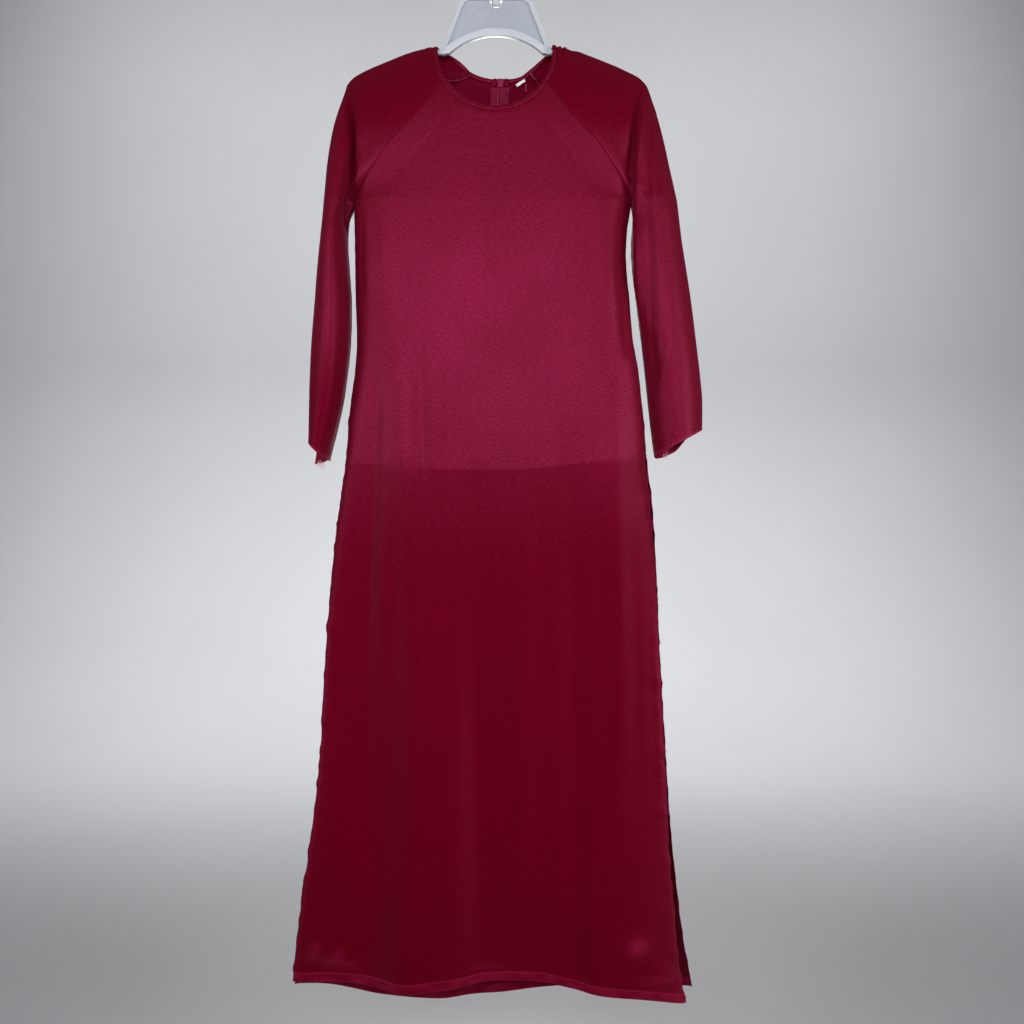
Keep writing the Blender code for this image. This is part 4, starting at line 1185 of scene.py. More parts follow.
def tube_faces(count, sides):
    """Faces of a tube through rings of points, with flat ends."""
    faces = []
    for r in range(count - 1):
        for i in range(sides):
            j = (i + 1) % sides
            faces.append((r * sides + i, r * sides + j, (r + 1) * sides + j, (r + 1) * sides + i))
    faces.append(tuple(range(sides - 1, -1, -1)))
    faces.append(tuple((count - 1) * sides + i for i in range(sides)))
    return faces


def make_binding(loop):
    """The rolled binding: full at its top edge, drawn in at its stitches, a little twisted in places."""
    top, out, up = loop
    run = run_of(top)
    keep = (run > ZIP_OPENING) & (run < run[-1] - ZIP_OPENING)
    top, out, up, run = top[keep], out[keep], up[keep], run[keep]
    marks = np.arange(0.0, run[-1] + 9.0, 6.5)
    wobble = np.interp(run, marks, np.random.default_rng(81).uniform(-1.0, 1.0, len(marks)))
    centre = top + up * (0.2 + BINDING_WIDTH / 2)
    rings, uv = [], []
    for i in range(BINDING_SIDES):
        angle = 2.0 * math.pi * i / BINDING_SIDES
        level = math.copysign(abs(math.cos(angle)) ** 0.8, math.cos(angle))
        full = BINDING_THICK / 2 * (1.0 + 0.12 * math.cos(angle))
        swell = 1.0 + 0.07 * wobble * math.sin(2.0 * angle + 0.6)
        across = math.sin(angle) * full
        rings.append(centre + up * level * BINDING_WIDTH / 2 + out * (across * swell)[:, None])
        uv.append(np.stack([run, np.full(len(run), 17.0 * i / BINDING_SIDES)], axis=-1))
    corners = np.stack(rings, axis=1).reshape(-1, 3)
    faces = tube_faces(len(run), BINDING_SIDES)
    return mesh_object("binding_cloth", corners, faces, np.stack(uv, axis=1).reshape(-1, 2))


def stitch_row(spots, long, gap, thick=0.32, sink=0.12):
    """Corners and faces of a row of stitches that follows points with outward directions."""
    places, outs = (np.array(part) for part in zip(*spots))
    run = run_of(places)

    def read(values, at):
        return np.array([np.interp(at, run, values[:, k]) for k in range(3)])

    pattern = tube_faces(len(STITCH_RINGS), 4)
    corners, faces = [], []
    start = gap
    while start + long < run[-1]:
        first = len(corners)
        for share, wide, high in STITCH_RINGS:
            at = start + long * share
            out = read(outs, at)
            along = read(places, at + 0.2) - read(places, at - 0.2)
            along /= max(np.linalg.norm(along), 1e-6)
            aside = np.cross(out, along)
            middle = read(places, at) + out * (thick * high * 0.5 - sink)
            half = thick * wide * 0.5
            corners += [middle + aside * half, middle + out * half,
                        middle - aside * half, middle - out * half]
        faces += [tuple(first + i for i in face) for face in pattern]
        start += long + gap
    return corners, faces


def join_parts(name, parts):
    """One mesh object from several lists of corners and faces."""
    corners, faces = [], []
    for more_corners, more_faces in parts:
        shift = len(corners)
        corners += list(more_corners)
        faces += [tuple(i + shift for i in face) for face in more_faces]
    return mesh_object(name, corners, faces)


def place_at(values, wanted):
    """Fractional place in a rising list where it reaches a value."""
    return float(np.interp(wanted, values, np.arange(len(values))))


def hem_stitches(name, panel, distance, long, gap):
    """Stitches along a hem or a cuff, on the face and on the inside."""
    _, _, up, _ = measures(panel.points)
    parts = []
    for lift in (CLOTH / 2, -(CLOTH / 2 + TURN_EXTRA)):
        spots = []
        for c in range(panel.points.shape[1]):
            row = place_at(up[:40, c], distance)
            point, out = panel.spot(row, c)
            spots.append((point + out * lift, out if lift > 0 else -out))
        parts.append(stitch_row(spots, long, gap))
    return join_parts(name, parts)


def patch(name, point, columns, rows, size, thick):
    """A small piece of cloth from its flat size and the point at a share across and a share up."""
    across, up = np.linspace(0.0, 1.0, columns), np.linspace(0.0, 1.0, rows)
    grid = np.array([[point(u, v) for u in across] for v in up])
    uv = np.stack(np.meshgrid(across * size[0], up * size[1]), axis=-1)
    return cloth_shell(name, grid, thick / 2, thick / 2, uv)


class Finish:
    """A material in the making, with short ways to add and join its nodes."""

    def __init__(self, name, colour, roughness, metallic=0.0):
        self.material = bpy.data.materials.new(name)
        self.material.use_nodes = True
        self.tree = self.material.node_tree
        self.shader = self.tree.nodes["Principled BSDF"]
        self.shader.inputs["Base Color"].default_value = (*colour, 1.0)
        self.shader.inputs["Roughness"].default_value = roughness
        self.shader.inputs["Metallic"].default_value = metallic

    def add(self, kind, inputs=None, **settings):
        node = self.tree.nodes.new(kind)
        for key, value in settings.items():
            setattr(node, key, value)
        for key, value in (inputs or {}).items():
            if isinstance(value, bpy.types.NodeSocket):
                self.tree.links.new(value, node.inputs[key])
            else:
                node.inputs[key].default_value = value
        return node

    def set(self, name, value):
        if isinstance(value, bpy.types.NodeSocket):
            self.tree.links.new(value, self.shader.inputs[name])
        else:
            self.shader.inputs[name].default_value = value

    def flat_place(self, stretch=(1.0, 1.0, 1.0)):
        """The piece's own flat map, in metres."""
        uv = self.add("ShaderNodeUVMap", uv_map="UVMap")
        return self.add("ShaderNodeMapping", {"Vector": uv.outputs[0], "Scale": stretch}).outputs[0]

    def solid_place(self):
        """The place in space, in metres."""
        return self.add("ShaderNodeTexCoord").outputs["Object"]

    def noise(self, place, scale, detail=2.0, roughness=0.5):
        inputs = {"Vector": place, "Scale": scale, "Detail": detail, "Roughness": roughness}
        return self.add("ShaderNodeTexNoise", inputs).outputs["Fac"]

    def carried(self, name):
        """A value that each point of the piece carries."""
        return self.add("ShaderNodeAttribute", attribute_name=name).outputs["Fac"]

    def coordinate(self, place, axis="Z"):
        """One coordinate of a place."""
        return self.add("ShaderNodeSeparateXYZ", {0: place}).outputs[axis]

    def sum(self, first, second, operation="ADD"):
        return self.add("ShaderNodeMath", {0: first, 1: second}, operation=operation).outputs[0]

    def range(self, value, low, high, to_low, to_high):
        inputs = {"Value": value, "From Min": low, "From Max": high, "To Min": to_low, "To Max": to_high}
        return self.add("ShaderNodeMapRange", inputs).outputs[0]

    def blend(self, share, first, second):
        mixer = self.add("ShaderNodeMix", {0: share}, data_type="RGBA")
        for socket, value in ((mixer.inputs[6], first), (mixer.inputs[7], second)):
            if isinstance(value, bpy.types.NodeSocket):
                self.tree.links.new(value, socket)
            else:
                socket.default_value = (*value, 1.0)
        return mixer.outputs[2]

    def bump(self, height, distance, strength):
        inputs = {"Height": height, "Distance": distance, "Strength": strength}
        self.set("Normal", self.add("ShaderNodeBump", inputs).outputs[0])


# Colours, as red, green and blue in linear light
CRIMSON = (0.116, 0.0001, 0.007)
# Paler where the cloth is double, and for painted highlights
CRIMSON_PALE_AND_HIGHLIGHT = (0.27, 0.007, 0.042)
CRIMSON_DEEP = (0.055, 0.0001, 0.0035)
CRIMSON_LINING = (0.13, 0.0015, 0.015)
CRIMSON_TAPE = (0.2, 0.008, 0.035)
SHEEN = (1.0, 0.12, 0.36)
SHEEN_DEEP = (0.55, 0.05, 0.18)
# Duller sheens, for unlined cloth and for painted shade
SHEEN_MATT_AND_SHADE = (0.34, 0.006, 0.1)
SHEEN_MATT_AND_SHADE_DEEP = (0.03, 0.002, 0.008)
THREAD_CRIMSON = (0.34, 0.03, 0.07)
THREAD_PINK = (0.42, 0.05, 0.12)
THREAD_PALE = (0.62, 0.28, 0.34)
LABEL_WHITE = (0.85, 0.85, 0.84)
ENAMEL = (0.19, 0.012, 0.045)
COIL_CRIMSON = (0.42, 0.035, 0.09)
FROST = (0.5, 0.54, 0.62)
FROST_WEB = ((0.34, 0.365, 0.42), (0.37, 0.39, 0.45))
FROST_RIM_AND_HIGHLIGHT = (0.48, 0.5, 0.545)


def crepe_finish(name, plain=CRIMSON, edge=CRIMSON_PALE_AND_HIGHLIGHT):
    """Satin-backed crepe: pebbles and slubs, a soft red sheen, and a paler tone where it is double, with
    painted highlights.

    Its points say, in one value, where it is double or lined and where a highlight is painted on, and in
    another, where it hangs unlined with a duller sheen and where shade is painted on as a duller sheen.
    """
    cloth = Finish(name, plain, 0.5)
    pebble = cloth.noise(cloth.flat_place((1.0, 1.2, 1.0)), 540.0, 3.0, 0.7)
    slub = cloth.noise(cloth.flat_place((0.26, 1.0, 1.0)), 580.0, 2.0, 0.6)
    cloud = cloth.noise(cloth.flat_place(), 9.0)
    grain = cloth.sum(cloth.sum(pebble, 0.55, "MULTIPLY"), cloth.sum(slub, 0.45, "MULTIPLY"))
    # Paler where double or lined, and at painted highlights on the hem
    tone = cloth.blend(cloth.carried("backing_and_highlight"), plain, edge)
    crisp = cloth.range(cloth.coordinate(cloth.solid_place()), -1.2, -0.75, 0.4, 1.0)
    pits = cloth.sum(cloth.range(grain, 0.38, 0.62, 0.85, 0.0), crisp, "MULTIPLY")
    tone = cloth.blend(pits, tone, CRIMSON_DEEP)
    tone = cloth.blend(cloth.range(cloud, 0.3, 0.7, 0.0, 0.14), tone, CRIMSON_DEEP)
    cloth.set("Base Color", tone)
    facing = cloth.add("ShaderNodeLayerWeight", {"Blend": 0.5}).outputs["Facing"]
    rough = cloth.range(cloth.sum(grain, cloud), 0.7, 1.3, 0.42, 0.5)
    cloth.set("Roughness", cloth.sum(rough, cloth.range(facing, 0.2, 0.7, 0.0, 0.5)))
    cloth.set("Specular IOR Level", 0.58)
    raised = cloth.range(grain, 0.4, 0.6, 0.0, 1.0)
    gloss = cloth.blend(raised, SHEEN_DEEP, SHEEN)
    # A duller sheen where the cloth hangs unlined, and painted shade as a duller sheen where the pieces mark
    # it
    dull_and_shade = cloth.blend(raised, SHEEN_MATT_AND_SHADE_DEEP, SHEEN_MATT_AND_SHADE)
    cloth.set("Specular Tint", cloth.blend(cloth.carried("matt_and_shade"), gloss, dull_and_shade))
    cloth.set("Sheen Weight", 0.07)
    cloth.set("Sheen Roughness", 0.5)
    cloth.set("Sheen Tint", (*SHEEN, 1.0))
    cloth.bump(grain, 0.0005, 0.7)
    return cloth.material


def plain_finish(name, colour, roughness, scale, distance, metallic=0.0, tint=None):
    """A plain surface with a fine grain, for tapes, thread, coil and paint."""
    made = Finish(name, colour, roughness, metallic)
    place = made.solid_place()
    grain = made.noise(place, scale, 2.0)
    dark = tuple(0.72 * c for c in colour)
    made.set("Base Color", made.blend(made.range(grain, 0.3, 0.7, 0.0, 0.5), colour, dark))
    made.set("Roughness", made.range(grain, 0.3, 0.7, roughness - 0.06, roughness + 0.06))
    made.bump(grain, distance, 0.5)
    if tint:
        made.set("Specular Tint", (*tint, 1.0))
    return made.material


def make_camera():
    """The photograph's view: level, in front of the garment's middle."""
    data = bpy.data.cameras.new("camera")
    data.sensor_width = 36.0
    data.lens = 36.0 * -CAMERA_PLACE[1] / FRAME_WIDTH
    camera = bpy.data.objects.new("camera", data)
    camera.location = CAMERA_PLACE
    camera.rotation_euler = (math.pi / 2, 0.0, 0.0)
    bpy.context.scene.collection.objects.link(camera)
    bpy.context.scene.camera = camera


def area_light(name, place, target, size, power, spread):
    """A soft light that the camera doesn't see."""
    data = bpy.data.lights.new(name, "AREA")
    data.shape = "RECTANGLE"
    data.size, data.size_y = size
    data.energy = power
    data.spread = math.radians(spread)
    light = bpy.data.objects.new(name, data)
    light.location = place
    light.visible_camera = False
    light.rotation_euler = (Vector(target) - Vector(place)).to_track_quat("-Z", "Y").to_euler()
    bpy.context.scene.collection.objects.link(light)


def make_room():
    """A plain pale floor that sweeps up well behind the garment, and soft light all round."""
    floor_height = CAD_BOX[0][2] - FLOOR_DROP
    profile = [(-FLOOR_REACH, floor_height), (WALL_BACK - SWEEP_RADIUS, floor_height)]
    for i in range(1, SWEEP_STEPS + 1):
        angle = math.pi / 2 * i / SWEEP_STEPS
        profile.append((WALL_BACK - SWEEP_RADIUS + SWEEP_RADIUS * math.sin(angle),
                        floor_height + SWEEP_RADIUS * (1.0 - math.cos(angle))))
    profile.append((WALL_BACK, WALL_TOP))
    corners = [(x / MM, y / MM, z / MM) for x in (-FLOOR_REACH, FLOOR_REACH) for y, z in profile]
    count = len(profile)
    faces = [(i, i + count, i + count + 1, i + 1) for i in range(count - 1)]
    room = mesh_object("room", corners, faces)
    pale = Finish("pale_floor", FLOOR_PALE, 0.85)
    cloud = pale.noise(pale.solid_place(), 2.0)
    pale.set("Base Color", pale.blend(cloud, FLOOR_DARK, FLOOR_PALE))
    room.data.materials.append(pale.material)
    for light in LIGHTS:
        area_light(*light)
    world = bpy.data.worlds.new("soft_room")
    world.use_nodes = True
    world.node_tree.nodes["Background"].inputs["Color"].default_value = SKY_COLOUR
    world.node_tree.nodes["Background"].inputs["Strength"].default_value = SKY_STRENGTH
    bpy.context.scene.world = world
    bpy.context.scene.view_settings.view_transform = "Standard"


def make_garment():
    """The sewn pieces: panels, sleeves, lining, binding, zip tapes, label and stitches."""
    crepe = crepe_finish("crimson_crepe")
    lining = crepe_finish("crimson_lining", CRIMSON_LINING, CRIMSON_LINING)
    tape = crepe_finish("crimson_tape", CRIMSON_TAPE, CRIMSON_TAPE)
    thread = plain_finish("crimson_thread", THREAD_CRIMSON, 0.5, 3000.0, 0.00005, tint=SHEEN)
    overlock = plain_finish("pink_thread", THREAD_PINK, 0.6, 3000.0, 0.00005)
    pale = plain_finish("pale_thread", THREAD_PALE, 0.6, 3000.0, 0.00005)
    satin = plain_finish("white_satin", LABEL_WHITE, 0.42, 2500.0, 0.00005)
    front_piece, front, across = make_front()
    backs = make_backs()
    sleeves = make_sleeves()
    lining_piece = make_lining(front, across)
    binding = make_binding(neck_loop(front, backs, sleeves))
    finish_piece(front_piece, "front_panel", crepe)
    finish_piece(lining_piece, "lining_front", lining)
    finish_piece(binding, "neck_binding", crepe)
    for name, (piece, _) in {**backs, **sleeves}.items():
        finish_piece(piece, name, crepe)
    stitches = {}
    for name, panel in (("front", front), ("back_left", backs["back_left"][1]),
                        ("back_right", backs["back_right"][1])):
        stitches[name] = hem_stitches("hem_stitches_" + name, panel, HEM_STITCH, *HEM_STITCHES)
    for name in ("sleeve_left", "sleeve_right"):
        stitches[name] = hem_stitches("cuff_stitches_" + name, sleeves[name][1], CUFF_STITCH, *CUFF_STITCHES)
    for piece in stitches.values():
        finish_piece(piece, None, thread)
    tapes = make_zip_tapes(backs)
    for name, piece in tapes.items():
        finish_piece(piece, name, tape)
    label = make_label(backs)
    finish_piece(label, "neck_label", satin)
    flaps = make_flaps(backs, sleeves)
    for flap, edging in flaps:
        finish_piece(flap, None, crepe)
        finish_piece(edging, None, overlock)
    frayed = make_frayed_end()
    finish_piece(frayed, None, crepe)
    loose = make_loose_threads()
    finish_piece(loose, None, pale)
    ends = make_binding_ends(make_hard_pieces(backs))
    for piece in ends:
        finish_piece(piece, None, crepe)


def settle(name):
    """Put the new piece's size and place into its mesh, and name it."""
    bpy.ops.object.transform_apply(location=True, rotation=True, scale=True)
    made = bpy.context.object
    made.name = made.data.name = name
    return made


def block(name, centre, size):
    """Start a piece from a block."""
    bpy.ops.object.select_all(action="DESELECT")
    bpy.ops.mesh.primitive_cube_add(size=1.0, location=Vector(centre) * MM, scale=Vector(size) * MM)
    return settle(name)


def rod(name, centre, radius, length, axis="Z", sides=48):
    """Start a piece from a round bar."""
    turn = {"X": (0.0, math.pi / 2, 0.0), "Y": (math.pi / 2, 0.0, 0.0), "Z": (0.0, 0.0, 0.0)}[axis]
    bpy.ops.object.select_all(action="DESELECT")
    bpy.ops.mesh.primitive_cylinder_add(vertices=sides, radius=radius * MM, depth=length * MM,
                                        location=Vector(centre) * MM, rotation=turn)
    return settle(name)


def take_up(piece):
    """Make a piece the only one selected, and the one that is worked on."""
    bpy.ops.object.select_all(action="DESELECT")
    piece.select_set(True)
    bpy.context.view_layer.objects.active = piece


def choose(piece, kind, test):
    """Go into edit mode with only those faces or edges selected whose place and direction pass a test."""
    take_up(piece)
    bpy.ops.object.mode_set(mode="EDIT")
    bpy.ops.mesh.select_mode(type=kind)
    bpy.ops.mesh.select_all(action="DESELECT")
    bpy.ops.object.mode_set(mode="OBJECT")
    mesh = piece.data
    if kind == "FACE":
        for face in mesh.polygons:
            face.select = test(face.center / MM, face.normal)
    else:
        for edge in mesh.edges:
            first, last = (mesh.vertices[i].co / MM for i in edge.vertices)
            edge.select = test((first + last) / 2, (last - first).normalized())
    bpy.ops.object.mode_set(mode="EDIT")


def leave():
    bpy.ops.object.mode_set(mode="OBJECT")


def change(piece, kind, **settings):
    """Add a modifier and apply it."""
    take_up(piece)
    modifier = piece.modifiers.new(kind.lower(), kind)
    for key, value in settings.items():
        setattr(modifier, key, value)
    bpy.ops.object.modifier_apply(modifier=modifier.name)


def combine(piece, other, operation):
    """Join another piece to this one, or cut it out, and use the other up."""
    change(piece, "BOOLEAN", operation=operation, object=other, solver="EXACT")
    bpy.data.objects.remove(other, do_unlink=True)


def soften(piece, width, segments=3, angle=35.0):
    """Round a piece's edges and shade it smooth between those that stay sharp."""
    change(piece, "BEVEL", width=width * MM, segments=segments, limit_method="ANGLE",
           angle_limit=math.radians(angle), miter_outer="MITER_ARC", use_clamp_overlap=True)
    take_up(piece)
    bpy.ops.object.shade_smooth_by_angle(angle=math.radians(50.0))


def round_corners(piece, test, radius, segments=7):
    """Round the chosen edges of a piece to a radius."""
    choose(piece, "EDGE", test)
    bpy.ops.mesh.bevel(offset=radius * MM, segments=segments, affect="EDGES")
    leave()


def round_outline(piece, low, high, radius, segments=7):
    """Round the edges that run from front to back between two heights."""
    round_corners(piece, lambda place, along: abs(along.y) > 0.9 and low < place.z < high, radius, segments)


def tapering_plate(name, foot, top, foot_half, top_half, middle, thick):
    """An upright plate that narrows towards its top."""
    plate = block(name, (0.0, middle, (foot + top) / 2), (2 * foot_half, thick, top - foot))
    choose(plate, "FACE", lambda place, normal: normal.z > 0.5)
    bpy.ops.transform.resize(value=(top_half / foot_half, 1.0, 1.0), center_override=(0.0, 0.0, top * MM))
    leave()
    return plate


def arch_rod(name, half, top, foot):
    """A bar from front to back whose top is an arch of a given width and rise."""
    rise = top - foot
    radius = (half * half + rise * rise) / (2.0 * rise)
    return rod(name, (0.0, 0.0, top - radius), radius, 40.0, "Y", 220)


def socket_rod(name, sizes, sides=48):
    """An upright bar in the socket, from its radius, foot and top."""
    radius, foot, top = sizes
    return rod(name, (0.0, 0.0, (foot + top) / 2), radius, top - foot, "Z", sides)


def make_hanger_plate():
    """The plate: a thin web inside a raised rim, an arch below and a socket for the hook above."""
    plate = tapering_plate("hanger_plate", PLATE_FOOT, PLATE_TOP, PLATE_FOOT_HALF, PLATE_TOP_HALF, 0.0,
                           PLATE_THICK)
    top_radius, foot_radius = PLATE_CORNERS
    round_outline(plate, PLATE_FOOT + 20.0, math.inf, top_radius)
    round_outline(plate, -math.inf, PLATE_FOOT + 1.0, foot_radius)
    combine(plate, arch_rod("arch", *ARCH), "DIFFERENCE")
    for face in (-1, 1):
        middle = face * (PLATE_THICK / 2 - WEB_RECESS + RECESS_CUT / 2)
        recess = tapering_plate("recess", RECESS_FOOT, RECESS_TOP, RECESS_FOOT_HALF, RECESS_TOP_HALF, middle,
                                RECESS_CUT)
        round_outline(recess, RECESS_TOP - 2.0, math.inf, RECESS_CORNER)
        combine(recess, arch_rod("rim_arch", *RIM_ARCH), "DIFFERENCE")
        combine(plate, recess, "DIFFERENCE")
    combine(plate, rod("window", (0.0, 0.0, WINDOW_MIDDLE), WINDOW_RADIUS, 40.0, "Y", 64), "DIFFERENCE")
    combine(plate, socket_rod("collar", COLLAR), "UNION")
    combine(plate, rod("pip", PIP, PIP_RADIUS, PIP_LENGTH, "Y", 20), "UNION")
    for side in (-1, 1):
        combine(plate, make_hanger_arm(side), "UNION")
    soften(plate, PLATE_SOFT, 4)
    return plate


def make_hanger_arm(side):
    """One arm, drawn out in steps from its root under the shoulder's fold line, and rounded."""
    root_x, root_top = ARM_ROOT
    start_long, start_deep = ARM_START
    height = ARM_ROOT_HEIGHT
    root_middle = root_top - height / 2
    start = (side * (root_x + start_long / 2), 0.0, root_middle)
    arm = block("arm", start, (start_long, start_deep, height))
    choose(arm, "FACE", lambda place, normal: normal.x * side > 0.5)
    at = Vector((side * (root_x + start_long), 0.0, root_middle))
    column = 1 if side < 0 else 2
    for share in ARM_SHARES:
        share_x = float(smooth(SHOULDER, column, np.array(share)))
        top = float(smooth(SHOULDER, 3, np.array(share))) - CLOTH / 2 - ARM_CLEAR
        tall = mix(ARM_ROOT_HEIGHT, ARM_HEIGHT, min(4.0 * (1.0 - share), 1.0))
        goal = Vector((share_x, 0.0, top - tall / 2))
        bpy.ops.mesh.extrude_region_move(TRANSFORM_OT_translate={"value": (goal - at) * MM})
        bpy.ops.transform.resize(value=(1.0, 1.0, tall / height), center_override=goal * MM)
        at, height = goal, tall
    tip = Vector((side * ARM_TIP[0], ARM_TIP[1], ARM_TIP[2]))
    bpy.ops.mesh.extrude_region_move(TRANSFORM_OT_translate={"value": tip * MM})
    bpy.ops.transform.resize(value=(1.0, 0.5, 0.6))
    leave()
    change(arm, "BEVEL", width=3.0 * MM, segments=4, limit_method="ANGLE", angle_limit=math.radians(60.0))
    return arm


def make_hook():
    """The hook: a round wire spun over the rail's place, its stem set in the socket with a knob."""
    radius = HOOK_INSIDE + HOOK_WIRE / 2
    first, last = (math.radians(angle) for angle in HOOK_TURN)
    bpy.ops.object.select_all(action="DESELECT")
    start = Vector((radius * math.cos(first), 0.0, radius * math.sin(first) - HOOK_INSIDE))
    bpy.ops.mesh.primitive_circle_add(vertices=24, radius=HOOK_WIRE / 2 * MM, fill_type="NGON",
                                      location=start * MM, rotation=(0.0, -first, 0.0))
    hook = settle("hook")
    choose(hook, "FACE", lambda place, normal: True)
    bpy.ops.mesh.spin(steps=44, angle=first - last, center=(0.0, 0.0, -HOOK_INSIDE * MM),
                      axis=(0.0, 1.0, 0.0))
    bpy.ops.mesh.select_all(action="SELECT")
    bpy.ops.mesh.remove_doubles(threshold=1e-6)
    bpy.ops.mesh.normals_make_consistent(inside=False)
    leave()
    foot = start
    choose(hook, "FACE", lambda place, normal: (place - start).length < 0.5)
    for goal in map(Vector, HOOK_NECK):
        bpy.ops.mesh.extrude_region_move(TRANSFORM_OT_translate={"value": (goal - foot) * MM})
        foot = goal
    leave()
    knob = socket_rod("knob", KNOB, 40)
    round_corners(knob, lambda place, along: abs(along.z) < 0.5 and place.z < KNOB[1] + 0.1, 1.6, 4)
    combine(hook, knob, "UNION")
    take_up(hook)
    bpy.ops.object.shade_smooth_by_angle(angle=math.radians(50.0))
    return hook


def inside_at(panel, heights, distance, from_last, lift):
    """Points on a panel's inside, at heights and at a distance from its first or last column."""
    left, right, _, _ = measures(panel.points)
    run = right if from_last else left
    column = panel.points[:, -1 if from_last else 0, 2]
    places, outs = [], []
    for height in heights:
        row = place_at(column, height)
        r = min(int(row), len(column) - 2)
        along = run[r][::-1] if from_last else run[r]
        c = place_at(along, distance)
        c = len(along) - 1 - c if from_last else c
        point, out = panel.spot(row, c)
        places.append(point - out * lift)
        outs.append(-out)
    return np.array(places), np.array(outs)


def make_zip_tapes(backs):
    """Woven tapes inside the back, with a thicker selvage at each edge."""
    made = {}
    heights = steps(ZIP_FOOT, BACK_NECK - TAPE_TOP_DROP, 3.0)
    for side, from_last in (("left", False), ("right", True)):
        strips, outs, uv = [], [], []
        for distance in TAPE_COLUMNS if from_last else TAPE_COLUMNS[::-1]:
            lift = CLOTH / 2 + 0.35 + TAPE / 2
            places, out = inside_at(backs["back_" + side][1], heights, distance, from_last, lift)
            strips.append(places)
            outs.append(out)
            uv.append(np.stack([np.full(len(heights), distance), heights], axis=-1))
        grid, normals, flat = (np.stack(part, axis=1) for part in (strips, outs, uv))
        thick = TAPE / 2 + SELVAGE_EXTRA * np.isin(flat[..., 0], TAPE_SELVAGES)
        name = "zip_tape_" + side
        made[name] = cloth_shell(name, grid, thick, TAPE / 2, flat, normals)
    return made


def make_coil(backs):
    """The closed coil: rows of small nylon loops from either side that mesh along the middle."""
    wide, thick, tall = TOOTH
    tooth = rod("tooth", (0.0, 0.0, 0.0), tall / 2, wide, "X", 8)
    choose(tooth, "FACE", lambda place, normal: abs(normal.x) > 0.9)
    bpy.ops.mesh.inset(thickness=0.14 * MM)
    bpy.ops.transform.resize(value=(1.16, 1.0, 1.0), center_override=(0.0, 0.0, 0.0))
    leave()
    shape = np.array([corner.co for corner in tooth.data.vertices]) / MM
    shape[:, 1] *= thick / tall
    pattern = [tuple(face.vertices) for face in tooth.data.polygons]
    bpy.data.objects.remove(tooth, do_unlink=True)
    lift = CLOTH / 2 + 0.9 + TAPE + thick / 2
    parts = []
    for name, from_last, shift in (("back_left", False, 0.0), ("back_right", True, 0.5)):
        heights = np.arange(ZIP_FOOT + 4.0 + shift * TOOTH_PITCH, BACK_NECK - COIL_CLEAR, TOOTH_PITCH)
        places, _ = inside_at(backs[name][1], heights, 1.15, from_last, lift)
        parts += [(shape + place, pattern) for place in places]
    return join_parts("zip_coil", parts)


def make_slider(top):
    """The slider: a shield-shaped plate inside the neck, a core, and a plate and bridge outside."""
    head = top.z + SLIDER_HEAD
    inside = top.y - CLOTH / 2 - TAPE - 1.0
    outside = top.y + BINDING_THICK / 2 + 0.6
    _, thick, tall = SLIDER_BODY
    slider = block("slider", (top.x, inside - thick / 2, head - tall / 2), SLIDER_BODY)
    choose(slider, "FACE", lambda place, normal: normal.z < -0.5)
    middle = Vector((top.x, inside - thick / 2, head - tall)) * MM
    bpy.ops.transform.resize(value=(SLIDER_FOOT_SHARE, 1.0, 1.0), center_override=middle)
    leave()
    top_radius, foot_radius = SLIDER_CORNERS
    round_outline(slider, head - 1.0, math.inf, top_radius, 5)
    round_outline(slider, -math.inf, head - tall + 1.0, foot_radius, 4)
    choose(slider, "FACE", lambda place, normal: normal.y < -0.9)
    bpy.ops.mesh.inset(thickness=SLIDER_DISH[0] * MM)
    bpy.ops.transform.translate(value=(0.0, -SLIDER_DISH[1] * MM, 0.0))
    leave()
    for side in (-1, 1):
        rail_middle = (top.x + side * RAIL_PLACE, inside + 0.5, head - tall / 2 - 0.6)
        combine(slider, block("rail", rail_middle, (*SLIDER_RAIL, tall - 3.0)), "UNION")
    neck_middle = (top.x, (inside + outside) / 2, head - SLIDER_NECK[2] / 2 - 1.0)
    combine(slider, block("neck", neck_middle, SLIDER_NECK), "UNION")
    plate = block("plate", (top.x, outside + SLIDER_PLATE[1] / 2, head - SLIDER_PLATE[2] / 2), SLIDER_PLATE)
    round_outline(plate, -math.inf, math.inf, 1.5, 4)
    combine(slider, plate, "UNION")
    hinge = Vector((top.x, outside + SLIDER_PLATE[1] + BRIDGE[1] / 2 - 0.2, head - SLIDER_PLATE[2] / 2))
    bridge = rod("bridge", hinge, BRIDGE[1] / 2, BRIDGE[0], "X", 28)
    combine(slider, bridge, "UNION")
    combine(slider, rod("tunnel", hinge, HINGE_HOLE, 3 * BRIDGE[0], "X", 24), "DIFFERENCE")
    soften(slider, 0.22, 2)
    return slider, hinge


